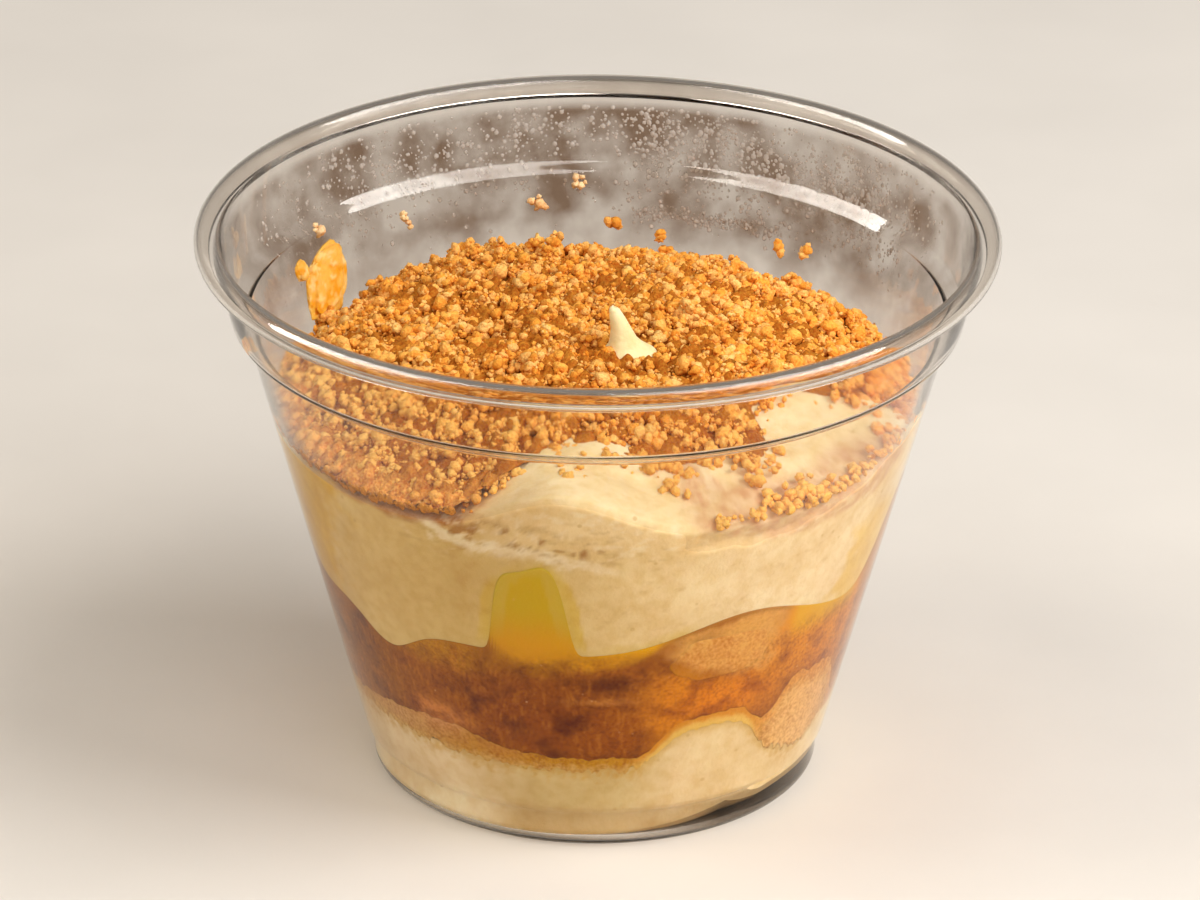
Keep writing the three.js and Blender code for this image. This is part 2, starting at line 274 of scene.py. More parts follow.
def round_the_cup(points):
    """Angle in degrees from the front, radius and height of points in millimetres."""
    angle = np.degrees(np.arctan2(points[:, 0], -points[:, 1]))
    return angle, np.hypot(points[:, 0], points[:, 1]), points[:, 2]


def swollen(base, swells, angle):
    """A base value with its swells (middle, half width, rise, steepness) at angles round the cup."""
    value = np.full(np.shape(angle), float(base))
    for middle, wide, rise, power in swells:
        value = value + rise * np.exp(-((away_from(angle, middle) / wide) ** power))
    return value


def smooth(value, low, high):
    """0 below low, 1 above high and a soft step between them."""
    t = np.clip((value - low) / (high - low), 0, 1)
    return t * t * (3 - 2 * t)


def within(angle, start, end, soft):
    """1 between two angles and 0 outside them, with soft ends."""
    return smooth(angle, start - soft, start + soft) * (1 - smooth(angle, end - soft, end + soft))


def line_at(angle, places):
    """Height, at angles round the cup, of a line drawn through (angle, height) places."""
    return np.interp(angle, [place[0] for place in places], [place[1] for place in places])


print("from 170 to -170 degrees it is", away_from(170, -170), "degrees")

# %% Boundaries between the layers
LOWER_CREAM = 11.8
LOWER_CREAM_SWELLS = [(27, 13, 5.2, 4), (56, 11, -2.8, 2), (-60, 20, 0.9, 2), (135, 30, 2, 2)]
LOWER_CREAM_SWELLS += [(-140, 26, -1.6, 2)]
BISCUIT_DEPTH = 1.7
BISCUIT_SWELLS = [(55, 12, 9.5, 4), (-38, 16, 2.4, 2), (150, 26, 5, 2), (-115, 24, 4, 2)]
FRUIT = 28.4
FRUIT_SWELLS = [(-12.8, 7.6, 11.8, 6), (-9.5, 4, 1.3, 2), (31, 19, 4.4, 2), (-47, 9, -3.8, 2)]
FRUIT_SWELLS += [(-87, 9, 15, 2), (77, 8, 13, 2), (122, 16, -3, 2), (170, 11, 7, 4), (-145, 20, 3, 2)]
CREAM_EDGE = 46.2
CREAM_EDGE_SWELLS = [(-6, 15, 5.6, 2), (72, 15, 4, 2), (173, 30, 1.6, 2), (-152, 20, 2.4, 2)]
CREAM_EDGE_SWELLS += [(-88, 18, 1.4, 2)]
CREAM_MIDDLE = 52.6
CREAM_DOME = 2.4  # how late the top of the cream falls away towards the wall
CREAM_SPAN = 40  # radius of the filling's top, near enough for ripples and crumbs
CREAM_RIPPLE = 0.5
RIPPLE_MM = (7, 8.4)
POCKET = 0.8
POCKET_SWELLS = [(62, 36, 4.2, 2)]
POCKET_INSET = 1.3  # how deep the pocket is for its height
BED_BOTTOM = RECESS_HEIGHT + 0.7
LEVEL_SHARE = 0.45  # share of the radius inside which a boundary is level


def boundary(base, swells, share, angle):
    """Swells belong to the wall: a boundary flattens towards the axis."""
    return base + (swollen(base, swells, angle) - base) * smooth(share, LEVEL_SHARE, 1)


def lower_cream_top(share, angle):
    return boundary(LOWER_CREAM, LOWER_CREAM_SWELLS, share, angle)


def biscuit_top(share, angle):
    return lower_cream_top(share, angle) + boundary(BISCUIT_DEPTH, BISCUIT_SWELLS, share, angle)


def fruit_top(share, angle):
    return boundary(FRUIT, FRUIT_SWELLS, share, angle)


def upper_edge(angle):
    return swollen(CREAM_EDGE, CREAM_EDGE_SWELLS, angle)


def upper_cream_top(share, angle):
    edge = upper_edge(angle)
    dome = edge + (CREAM_MIDDLE - edge) * (1 - share**CREAM_DOME)
    x, y = at_angle(share * CREAM_SPAN, angle)
    ripple = np.sin(x / RIPPLE_MM[0] + 1.3) * np.cos(y / RIPPLE_MM[1] - 0.4)
    return dome + CREAM_RIPPLE * ripple * share * (1 - share) * 4


fronts = [top(1, 0.0) for top in (lower_cream_top, biscuit_top, fruit_top, upper_cream_top)]
print("tops of the layers at the front in mm:", [round(float(height), 1) for height in fronts])


# %% Turning a profile
def turned(profile, steps):
    """Spins a profile of (radius, height) points round Z, starting at the front."""
    bm = bmesh.new()
    verts = [bm.verts.new((0, -radius, height)) for radius, height in profile]
    edges = [bm.edges.new(pair) for pair in zip(verts[:-1], verts[1:])]
    middle = {"cent": (0, 0, 0), "axis": (0, 0, 1), "dvec": (0, 0, 0)}
    bmesh.ops.spin(bm, geom=verts + edges, **middle, angle=2 * math.pi, steps=steps, use_merge=True)
    return bm


def arrays_of(bm):
    """Points and faces of a small bmesh, to be repeated many times."""
    bm.verts.index_update()
    return np.array([v.co for v in bm.verts]), np.array([[v.index for v in f.verts] for f in bm.faces])


def close_up(bm):
    """Welds seams and poles, and turns every face outwards."""
    bmesh.ops.remove_doubles(bm, verts=bm.verts, dist=2e-6)
    bmesh.ops.recalc_face_normals(bm, faces=bm.faces)


# %% Finishing a piece
def finish_mesh(mesh, name, material, slot, *replaced):
    """Makes the object of a mesh, shades it smooth, and hides the solids that it replaces. Its slot is not
    used.
    """
    mesh.polygons.foreach_set("use_smooth", [True] * len(mesh.polygons))
    mesh.materials.append(material)
    piece = bpy.data.objects.new(name, mesh)
    bpy.context.collection.objects.link(piece)
    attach(piece, "root")
    if replaced:
        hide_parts(*replaced)
    print(name, "triangles:", sum(len(polygon.vertices) - 2 for polygon in mesh.polygons))
    return piece


def finish_piece(bm, name, material, slot, *replaced):
    """The same for a bmesh, which is used up."""
    mesh = bpy.data.meshes.new(name)
    bm.to_mesh(mesh)
    bm.free()
    return finish_mesh(mesh, name, material, slot, *replaced)


# %% Painting a piece
def points_of(piece):
    """Angle, radius and height of a piece's points."""
    co = np.zeros(len(piece.data.vertices) * 3, np.float32)
    piece.data.vertices.foreach_get("co", co)
    return round_the_cup(co.reshape(-1, 3).astype(float) / MM)


def colour_of(hex_colour):
    return np.array(linear(hex_colour)[:3])


def plain(hex_colour, places):
    """One colour for each of the places."""
    return np.tile(colour_of(hex_colour), (len(places), 1))


def washed(base, washes):
    """Lays colours over a base one after another, each by a share for each point."""
    for hex_colour, share in washes:
        share = np.clip(share, 0, 1)[:, None]
        base = base * (1 - share) + colour_of(hex_colour) * share
    return base


def tones_round(angle, stops):
    """Colours at angles round the cup, blended between (angle, colour) stops."""
    table = np.array([colour_of(hex_colour) for _, hex_colour in stops])
    turns = [turn for turn, _ in stops]
    return np.stack([np.interp(angle, turns, table[:, channel]) for channel in range(3)], axis=1)


def spot(angle, z, middle, height, wide, tall, power=2.0):
    """A soft patch round a place on the wall: 1 in its middle, 0 well away from it."""
    away = away_from(angle, middle) / wide
    return np.exp(-((away**2 + ((z - height) / tall) ** 2) ** (power / 2)))


def keep_paint(piece, colours, grain=None):
    """Keeps a colour for each vertex, and how granular it is, for the material to read."""
    rgba = np.ones((len(colours), 4), np.float32)
    rgba[:, :3] = colours
    layer = piece.data.color_attributes.new("tint", "FLOAT_COLOR", "POINT")
    layer.data.foreach_set("color", rgba.ravel())
    if grain is not None:
        coarse = piece.data.attributes.new("coarse", "FLOAT", "POINT")
        coarse.data.foreach_set("value", np.clip(grain, 0, 1).astype(np.float32))


print("half white, half amber:", np.round(washed(plain("#FFFFFF", [0]), [("#A8620A", np.array([0.5]))]), 2))


# %% A layer rolled up from a grid
def turned_layer(rows, steps, place):
    """Rolls a grid up into a closed layer. Each of its rows has (share of the radius, key), and
    place(share, key, angle) gives the radius and height in millimetres."""
    bm = bmesh.new()
    bmesh.ops.create_grid(bm, x_segments=steps, y_segments=len(rows) - 1, size=1)
    flat = np.array([v.co for v in bm.verts])
    angle = 180 * np.round(flat[:, 0] * steps / 2) / (steps / 2)
    row_of = np.round((flat[:, 1] + 1) / 2 * (len(rows) - 1)).astype(int)
    share = np.array([row[0] for row in rows])[row_of]
    key_of = np.array([row[1] for row in rows], dtype=object)[row_of]
    radius, height = np.zeros(len(flat)), np.zeros(len(flat))
    for key in dict.fromkeys(row[1] for row in rows):
        mine = key_of == key
        radius[mine], height[mine] = place(share[mine], key, angle[mine])
    x, y = at_angle(radius, angle)
    for vert, px, py, pz in zip(bm.verts, x * MM, y * MM, height * MM):
        vert.co = (px, py, pz)
    close_up(bm)
    return bm


def rows_between(start, end, steps, key):
    """Rows of a turned layer, from one share of the radius or height to another."""
    return [(start + (end - start) * i / steps, key) for i in range(steps + 1)]


def layer_rows(under, side, top):
    """Rows that run under a layer, up its side and back over its top."""
    rows = rows_between(0, 1, under, "under")[:-1] + rows_between(0, 1, side, "side")
    return rows + rows_between(1, 0, top, "top")[1:]


print("rows of a small layer:", layer_rows(1, 1, 1))

# %% [markdown]
# ## The cup
# A PET cup is blown thin from a sheet: sharp in outline, yet every corner has a small radius, and the
# rim is rolled outwards to a bead that keeps the cup stiff. The profile could be drawn as one curve. Here
# it is a list of corners that a helper rounds, because that is how such a mould is drawn, and the spin
# operator turns it. A little waviness afterwards breaks up the reflections, as on the real sheet.

# %% The cup's outline
CUP_STEPS = 224
RIM_MIDDLE = (45.95, 67.1)
CURL_HALF = (1.55, 1.35)
CURL_WALL = 0.5
CURL_START, CURL_END, CURL_STEP = 180, -112, 12


def rounded(points, radii, step_deg=18):
    """Rounds each inner corner of an outline with an arc that starts and ends on its two sides."""
    outline = [points[0]]
    for before, corner, after, radius in zip(points, points[1:], points[2:], radii):
        a, b, c = (np.array(p, float) for p in (before, corner, after))
        to_a, to_c = (a - b) / np.linalg.norm(a - b), (c - b) / np.linalg.norm(c - b)
        half = math.acos(np.clip(np.dot(to_a, to_c), -1, 1)) / 2
        cut = min(radius / math.tan(half), 0.45 * np.linalg.norm(a - b), 0.45 * np.linalg.norm(c - b))
        steps = max(2, int(math.degrees(math.pi - 2 * half) / step_deg) + 1)
        for i in range(steps + 1):
            t = i / steps
            start, end = b + to_a * cut, b + to_c * cut
            outline.append(tuple(start * (1 - t) ** 2 + b * 2 * t * (1 - t) + end * t**2))
    return outline + [points[-1]]


def curl(inset):
    """The bead of the rim, from the band's outer face round and down."""
    turns = np.arange(CURL_START, CURL_END - 1, -CURL_STEP)
    across = RIM_MIDDLE[0] + (CURL_HALF[0] - inset) * np.cos(np.radians(turns))
    up = RIM_MIDDLE[1] + (CURL_HALF[1] - inset) * np.sin(np.radians(turns))
    return list(zip(across, up))


outside = [(0, 0.6), (22, 0.6), (23, 0), (25.6, 0), (26.55, 0.9), (26.7, 4.6)]
outside += [WALL_LOW, WALL_HIGH, BAND_LOW, BAND_HIGH]
OUTSIDE_RADII = [0.8, 0.8, 1.6, 3.0, 0.5, 0.4, 0.7, 0.7]
inside = [(44.4, 65.6), (42.79, 58.7), (42.21, 58.37), (41.64, 57.85), (41.06, 57.5), (27.02, 5.6)]
inside += [(26.1, 4.6), (26.1, 1.7), (25.3, 0.7), (23, 0.7), (22, 1.3), (0, 1.3)]
INSIDE_RADII = [0.5, 2.5, 2.5, 0.3, 0.3, 0.4, 1.2, 1.2, 0.6, 0.6]
cup_profile = rounded(outside, OUTSIDE_RADII) + curl(CURL_WALL) + curl(0)[::-1]
cup_profile += rounded(inside, INSIDE_RADII)
print("points in the cup's profile:", len(cup_profile))

# %% [markdown]
# ## PET sheet
# Clear PET is water-clear with a glass-like gloss and an IOR of about 1.57. A slightly lower one matched
# the soft bends of this thin sheet. Seen on edge it is a little grey-brown. Handling and the moist filling
# leave it faintly hazy, which softens the highlights. A film of moisture lies high on the back, and its brown
# is painted shade; painted shade also darkens the hollow of the foot at the right. Shadow rays pass straight
# through, or the cream behind the wall would turn noisy and dark.

# %% Clear plastic
PET_IOR = 1.5
HAZE_MM = 9
CLOUD_MM = 6
SCUFF_MM = 0.7
FOOT_SHADE = "#8A7F74"  # painted shade in the hollow of the foot, at the right
GLOSS = "#6A6A6A"  # the studio's pale paper mirrors more strongly than a room does, so less is let back
# Fades along an axis: from and to in mm, and the share before and after.
FILM_AND_SHADE_FADES = [("Y", -8, 22, 0.0, 1.0), ("Z", 44, 53, 0.0, 1.0), ("Z", 64.5, 65.7, 1.0, 0.15)]
FOOT_FADES = [("Z", 4.2, 5.6, 1.0, 0.0), ("X", 3, 15, 0.0, 1.0)]


def faded(add, place, share, fades):
    """A share multiplied by fades along the axes."""
    axes = add("SeparateXYZ", {"Vector": place}).node.outputs
    for axis, start, end, before, after in fades:
        ends = {"From Min": start * MM, "From Max": end * MM, "To Min": before, "To Max": after}
        fade = add("MapRange", {**ends, "Value": axes[axis]})
        share = add("Math", {"operation": "MULTIPLY", 0: share, 1: fade})
    return share


def clear_finish(name, ior, tint, film_and_shade, shade):
    """Clear and glossy. Its tint goes over to that of the film of moisture high on the back, whose brown
    is painted shade; painted shade also darkens the foot at the right.
    """
    material, add, place = new_material(name)
    cloud = add("TexNoise", sized(CLOUD_MM, place, 6.0))
    clouded = add("MapRange", {"From Min": 0.35, "From Max": 0.62, "To Min": 0.35, "Value": cloud})
    # the film of moisture high on the back is real, its brown tone is painted shade
    film_and_shade_share = faded(add, place, clouded, FILM_AND_SHADE_FADES)
    tone = add("Mix", {"data_type": "RGBA", 0: film_and_shade_share, 6: linear(tint), 7: linear(film_and_shade)}, 2)
    # painted shade: the foot at the right is darkened towards FOOT_SHADE
    foot = faded(add, place, 1.0, FOOT_FADES)
    foot_tone = add("Mix", {"data_type": "RGBA", 0: foot, 6: tone, 7: linear(FOOT_SHADE)}, 2)
    haze = add("TexNoise", sized(HAZE_MM, place, 4.0))
    gloss_ends = {"From Min": 0.35, "From Max": 0.75, "To Min": 0.02, "To Max": 0.07}
    rough = add("MapRange", {**gloss_ends, "Value": haze})
    scuff = add("TexNoise", sized(SCUFF_MM, place, 2.0))
    relief = add("Bump", {"Strength": 0.05, "Distance": 0.02 * MM, "Height": scuff})
    skin = {"IOR": ior, "Specular Tint": linear(GLOSS), "Transmission Weight": 1.0}
    skin |= {"Base Color": foot_tone, "Roughness": rough, "Normal": relief}
    ray = add("LightPath", {}).node.outputs
    passing = {"operation": "MAXIMUM", 0: ray["Is Shadow Ray"], 1: ray["Is Diffuse Ray"]}
    through = add("BsdfTransparent", {"Color": linear(shade)})
    mix = {0: add("Math", passing), 1: add("BsdfPrincipled", skin), 2: through}
    return surfaced(material, add("MixShader", mix))


pet = clear_finish("blown_clear_pet", PET_IOR, "#F1EDE8", "#8C7665", "#F8F6F3")
print("IOR of the cup:", PET_IOR)

# %% Spin the cup
WAVE_MM = 17
WAVE_RISE = 0.035
WAVY_RADII = (27, 44)  # the wall alone, between the foot and the band
WAVY_FROM = 6
cup_bm = turned([(r * MM, z * MM) for r, z in cup_profile], CUP_STEPS)
close_up(cup_bm)
for vert in cup_bm.verts:
    reach = math.hypot(vert.co.x, vert.co.y) / MM
    if WAVY_RADII[0] < reach < WAVY_RADII[1] and vert.co.z > WAVY_FROM * MM:
        sway = noise.noise(Vector((vert.co.x, vert.co.y, vert.co.z * 0.6)) / (WAVE_MM * MM))
        vert.co.xy *= 1 + WAVE_RISE * sway / reach
cup = finish_piece(cup_bm, "clear_cup", pet, "clear_plastic", "cup")

# %% Glints on the plastic alone
glint_receivers = bpy.data.collections.new("plastic_that_glints")
glint_receivers.objects.link(cup)
for light in glint_lights:
    light.light_linking.receiver_collection = glint_receivers

# %% [markdown]
# ## The lower cream
# The first spoonful of cream was pressed into the foot and lies wet against the wall, except in the
# corner at the right, where it leaves an air pocket; the pocket's shade is painted onto the cream. A turned
# lattice is the simplest body for a layer in a round cup: its rows run under it, up the wall and back over
# its top.

# %% A cream finish
CREAM_GRAIN_MM = 0.45
CREAM_DRIFT_MM = 7
CURD_MM = 1.6
SPECK_MM = 3.4


def cream_finish(name):
    """Whipped cream and mascarpone: soft, thick, fatty, so light soaks in a little way."""
    material, add, place = new_material(name)
    tint = add("Attribute", {"attribute_name": "tint"})
    drift = mottled(add, place, tint, 1.0, CREAM_DRIFT_MM, 5.0, [(0.3, "#EFE6D6"), (0.7, "#FFFFFF")])
    curd = mottled(add, place, drift, 1.0, CURD_MM, 4.0, [(0.3, "#F6EFE0"), (0.6, "#FFFFFF")])
    speck = add("TexVoronoi", sized(SPECK_MM, place))
    speck_share = add("ValToRGB", {"ramp": [(0.06, 0.45), (0.1, 0.0)], "Fac": speck})
    specked = add("Mix", {"data_type": "RGBA", 0: speck_share, 6: curd, 7: linear("#C79B56")}, 2)
    grain = add("TexNoise", sized(CREAM_GRAIN_MM, place, 4.0))
    relief = add("Bump", {"Strength": 0.6, "Distance": 0.12 * MM, "Height": grain})
    skin = {"Base Color": specked, "Roughness": 0.5, "Specular IOR Level": 0.12, "Normal": relief}
    soak = {"Subsurface Weight": 0.25, "Subsurface Radius": (1.0, 0.6, 0.3), "Subsurface Scale": 2.5 * MM}
    return surfaced(material, add("BsdfPrincipled", {**skin, **soak}))


cream = cream_finish("whipped_cream_and_mascarpone")
print("drift of the cream's tone in mm:", CREAM_DRIFT_MM)

# %% Fine noise on the filling
DRUM = 34.0


def shag(angle, z, size, seed):
    """Fine noise at angles and heights on a drum as wide as the filling, so that it closes on itself."""
    turn = np.radians(angle)
    drum = zip(DRUM * np.sin(turn), DRUM * np.cos(turn), z)
    shift = Vector((seed, 1.7 * seed, -2.3 * seed))
    return np.array([noise.fractal(Vector(spot_mm) / size + shift, 1.0, 2.0, 3) for spot_mm in drum])


print("the same on both sides of the seam:", np.round(shag([-180, 180], [20, 20], 1.0, 1.0), 3))

# %% Lower cream
WALL_STEPS = 560
LOWER_SIDE_ROWS = 40
LAP = 0.2  # how far a layer reaches up into the one above it
SEAT = 0.1  # and down into what lies below it
LOWER_CREAM_TONES = [(-180, "#F3DCAC"), (-90, "#F3DCB0"), (-36, "#F6E0B8"), (-14, "#DFC78E"), (5, "#DFC78E")]
LOWER_CREAM_TONES += [(20, "#F2DAAC"), (60, "#F3DCAC"), (180, "#F3DCAC")]
lower_rows = rows_between(0, 1, 8, "floor")[:-1] + rows_between(0, 1, 10, "corner")
lower_rows += rows_between(0, 1, LOWER_SIDE_ROWS, "side")[1:] + rows_between(1, 0, 12, "top")[1:]


def place_lower_cream(share, key, angle):
    pocket = swollen(POCKET, POCKET_SWELLS, angle)
    inset = pocket * POCKET_INSET
    floor_z = BED_BOTTOM - SEAT
    if key == "floor":
        return share * (wet_radius(BED_BOTTOM) - inset), np.full(len(share), floor_z)
    if key == "corner":
        turn = share * math.pi / 2
        radius = wet_radius(BED_BOTTOM + pocket) - inset * (1 - np.sin(turn))
        return radius, floor_z + (pocket + SEAT) * (1 - np.cos(turn))
    if key == "side":
        low = BED_BOTTOM + pocket
        z = low + (lower_cream_top(1, angle) + LAP - low) * share
        return wet_radius(z), z
    z = lower_cream_top(share, angle) + LAP
    return share * wet_radius(z), z


lower_bm = turned_layer(lower_rows, WALL_STEPS, place_lower_cream)
lower_cream = finish_piece(lower_bm, "cream_lower_bed", cream, "cream", "cream_lower")

# %% Paint of the lower cream
angle, radius, z = points_of(lower_cream)
near_foot = smooth(7 - z, 0, 3)
fringe = (1.5 - 1.2 * within(angle, 12, 42, 3)) * shag(angle, z, 0.8, 5.5)
# painted shade: the cream is darkened where it stands back from the wall in the pocket at the right
pocket_painted_shade = smooth(wet_radius(z) - radius, 0.1, 1.0) * swollen(0, [(62, 30, 1, 4)], angle) * smooth(9 - z, 0, 2)
washes = [
    ("#FFEFCC", 0.9 * near_foot * within(angle, -90, -24, 8)),
    ("#D2B486", 0.7 * near_foot * within(angle, -22, 22, 10)),
    ("#DDAE52", 0.7 * smooth(z - lower_cream_top(1, angle) + fringe, -2.2, 0.2)),
    ("#54483A", 0.9 * pocket_painted_shade * (0.8 + 0.5 * shag(angle, z, 1.2, 6.1))),
]
keep_paint(lower_cream, washed(tones_round(angle, LOWER_CREAM_TONES), washes))
print("points in the shade of the air pocket:", (pocket_painted_shade > 0.5).sum())

# %% [markdown]
# ## Soaked biscuit
# Under the fruit lies a thin bed of biscuit that drank up the syrup: grainy, sandy at its lower edge and
# thick in one pale lump low on the right. Its grain is finer than rice, so it is relief on the layer's
# own surface, with a granular colour over it.

# %% A grainy, soaked finish
SAND_MM = 0.45
CLUMPED_MM = 2.6


def grainy_finish(name, roughness, dark, relief_mm, sand_mm=SAND_MM, soak=0.3):
    """Crumbs swollen with syrup: a fine speckle of dark gaps and pale grains, a little shiny."""
    material, add, place = new_material(name)
    tint = add("Attribute", {"attribute_name": "tint"})
    coarse = add("Attribute", {"attribute_name": "coarse"}, "Fac")
    sand = add("TexNoise", sized(sand_mm, place, 3.0))
    clump = add("TexNoise", sized(CLUMPED_MM, place, 3.0))
    both = add("Math", {"operation": "MULTIPLY_ADD", 0: clump, 1: 0.4, 2: sand})
    grains = add("ValToRGB", {"ramp": [(0.45, dark), (0.82, "#FFFFFF")], "Fac": both})
    multiplied = {"data_type": "RGBA", "blend_type": "MULTIPLY", 0: coarse, 6: tint, 7: grains}
    relief = add("Bump", {"Strength": 0.8, "Distance": relief_mm * MM, "Height": both})
    skin = {"Base Color": add("Mix", multiplied, 2), "Roughness": roughness, "Normal": relief}
    skin |= {"Specular IOR Level": 0.1, "Subsurface Weight": soak, "Subsurface Scale": 1.6 * MM}
    return surfaced(material, add("BsdfPrincipled", {**skin, "Subsurface Radius": (1.0, 0.45, 0.12)}))


soaked = grainy_finish("biscuit_soaked_in_syrup", 0.45, "#D9BF94", 0.12)
print("grains of the biscuit in mm:", SAND_MM)

# %% Biscuit layer
BISCUIT_SIDE_ROWS = 30
SHAG_MM = 0.8
BISCUIT_SAG = 0.25  # how far its lower edge hangs over the cream

biscuit_rows = layer_rows(8, BISCUIT_SIDE_ROWS, 8)


def place_biscuit(share, key, angle):
    low, high = lower_cream_top(1, angle), biscuit_top(1, angle) + LAP
    if key == "side":
        rough = 1.0 - 0.7 * within(angle, 12, 42, 3)
        ragged = rough * shag(angle, np.full(len(angle), 3.0), SHAG_MM, 4.1) * (1 - share)
        z = low - BISCUIT_SAG + ragged + (high - low + BISCUIT_SAG) * share
        return wet_radius(z) + 0.05 * (1 - share), z
    if key == "under":
        return share * wet_radius(low), lower_cream_top(share, angle) - SEAT
    return share * wet_radius(high), biscuit_top(share, angle) + LAP


biscuit_bm = turned_layer(biscuit_rows, WALL_STEPS, place_biscuit)
biscuit = finish_piece(biscuit_bm, "soaked_biscuit_bed", soaked, "soaked_biscuit", "biscuit_layer")

# %% Paint of the biscuit
angle, radius, z = points_of(biscuit)
grains = shag(angle, z, 0.9, 3.7)
low, high = lower_cream_top(1, angle), biscuit_top(1, angle)
thin_part = within(angle, 10, 39, 3)
washes = [
    ("#C78C0C", spot(angle, z, -4, 12, 16, 3)),
    ("#DCA968", spot(angle, z, -50, 14, 14, 2.0)),
    ("#DB9C5C", spot(angle, z, -37, 16.2, 8, 2.2, 3)),
    ("#C98A34", spot(angle, z, -22, 14, 6, 2.0)),
    ("#DFB266", 0.75 * smooth(low + 0.9 - z + 0.8 * grains, 0, 1.2)),
    ("#EDBA72", spot(angle + 3 * grains, z + grains, 53, 13, 12.5, 7.0, 5)),
    ("#D8861C", spot(angle + 3 * grains, z, 60, 22, 10, 3)),
    ("#E29A38", 0.8 * smooth(z + 1.5 * grains - high, -3.2, -0.4) * within(angle, 38, 74, 4)),
    ("#EDBE5E", 0.9 * thin_part),
    ("#D98A14", 0.95 * thin_part * smooth(z - low + 0.3 * grains, 0.2, 1.3)),
]
keep_paint(biscuit, washed(plain("#C98E20", angle), washes), 1 - 0.8 * thin_part)
print("washes on the biscuit:", len(washes))

# %% [markdown]
# ## Amber fruit
# Cooked fruit in its own syrup: dark and brown where it is thick, orange where light gets through, and
# yellow where only a film of syrup has run up between cream and wall. The tongue of syrup left of the
# middle is the clearest of these. The layer is one body, and its paint follows the named places.

# %% A syrupy finish
PULP_MM = 3.2
FIBRE_MM = 0.42
GLINT_MM = 0.9
GLINT_CLUSTER_MM = 2.2
FRUIT_SKIN_MM = 0.5


def fruit_finish(name):
    """Stewed fruit: translucent, wet, with fibres and small bright points that are painted glints."""
    material, add, place = new_material(name)
    tint = add("Attribute", {"attribute_name": "tint"})
    coarse = add("Attribute", {"attribute_name": "coarse"}, "Fac")
    pulp_tones = [(0.3, "#B09472"), (0.54, "#FAF6F0"), (0.7, "#FFFFFF")]
    pulp = mottled(add, place, tint, coarse, PULP_MM, 6.0, pulp_tones)
    fibre_tones = [(0.34, "#DDCDB6"), (0.52, "#F8F3EA"), (0.66, "#FFFFFF")]
    fibres = mottled(add, place, pulp, coarse, FIBRE_MM, 3.0, fibre_tones)
    # painted glints: small bright points scattered in clusters over the fruit
    glint_cells = add("TexVoronoi", sized(GLINT_MM, place))
    glint_share = add("ValToRGB", {"ramp": [(0.1, 0.5), (0.2, 0.0)], "Fac": glint_cells})
    cluster = add("TexNoise", sized(GLINT_CLUSTER_MM, place, 1.0))
    few = add("MapRange", {"From Min": 0.6, "From Max": 0.72, "Value": cluster})
    shown = add("Math", {"operation": "MULTIPLY", 0: glint_share, 1: few})
    lit = add("Mix", {"data_type": "RGBA", 0: shown, 6: fibres, 7: linear("#E8B36A")}, 2)
    fine = add("TexNoise", sized(FRUIT_SKIN_MM, place, 3.0))
    relief = add("Bump", {"Strength": 0.3, "Distance": 0.12 * MM, "Height": fine})
    skin = {"Base Color": lit, "Roughness": 0.35, "Specular IOR Level": 0.08, "Normal": relief}
    soak = {"Subsurface Weight": 0.35, "Subsurface Radius": (1.0, 0.4, 0.05), "Subsurface Scale": 2.0 * MM}
    return surfaced(material, add("BsdfPrincipled", {**skin, **soak}))


stewed_fruit = fruit_finish("stewed_amber_fruit")
print("pulp of the fruit in mm:", PULP_MM)

# %% Fruit layer
FRUIT_SIDE_ROWS = 64
FRUIT_STEPS = 640
FRUIT_LAP = 0.15
FRUIT_SAG = 0.2
FRUIT_RAGGED = 0.5

fruit_rows = layer_rows(8, FRUIT_SIDE_ROWS, 12)


def place_fruit(share, key, angle):
    low, high = biscuit_top(1, angle), fruit_top(1, angle) + FRUIT_LAP
    if key == "side":
        ragged = FRUIT_RAGGED * shag(angle, np.full(len(angle), 9.0), 1.6, 2.2)
        z = low - FRUIT_SAG + ragged * (1 - share) + (high - low + FRUIT_SAG) * share
        return wet_radius(z) + 0.03, z
    if key == "under":
        return share * wet_radius(low), biscuit_top(share, angle) - SEAT
    return share * wet_radius(high), fruit_top(share, angle) + FRUIT_LAP


fruit_bm = turned_layer(fruit_rows, FRUIT_STEPS, place_fruit)
fruit = finish_piece(fruit_bm, "amber_fruit_band", stewed_fruit, "amber_fruit", "fruit_layer")

# %% Where the sponge shows
SPONGE_HIGH = [(12, 30.4), (17, 31.2), (27, 32.1), (34, 33.2), (42, 33.2), (48, 31)]
SPONGE_LOW = [(12, 29), (17, 27.4), (20, 25.6), (27, 24.4), (38, 23.4), (44, 25.2)]


def sponge_zone(angle, z):
    """Where the soaked sponge shows through on the wall: 1 on it, 0 away from it."""
    stray = shag(angle, z, 1.6, 2.9)
    above = smooth(z - line_at(angle, SPONGE_LOW) + 0.9 * stray, -0.9, 1.3)
    below = smooth(line_at(angle, SPONGE_HIGH) - z + 0.4 * stray, -0.2, 0.7)
    return above * below * within(angle + 3 * stray, 15, 40, 4)


angle, radius, z = points_of(fruit)
fruit_grain = np.maximum(1 - smooth(z, 26.5, 30), 0.45 * sponge_zone(angle, z))
print("share of the band that is grainy:", round(float(fruit_grain.mean()), 2))

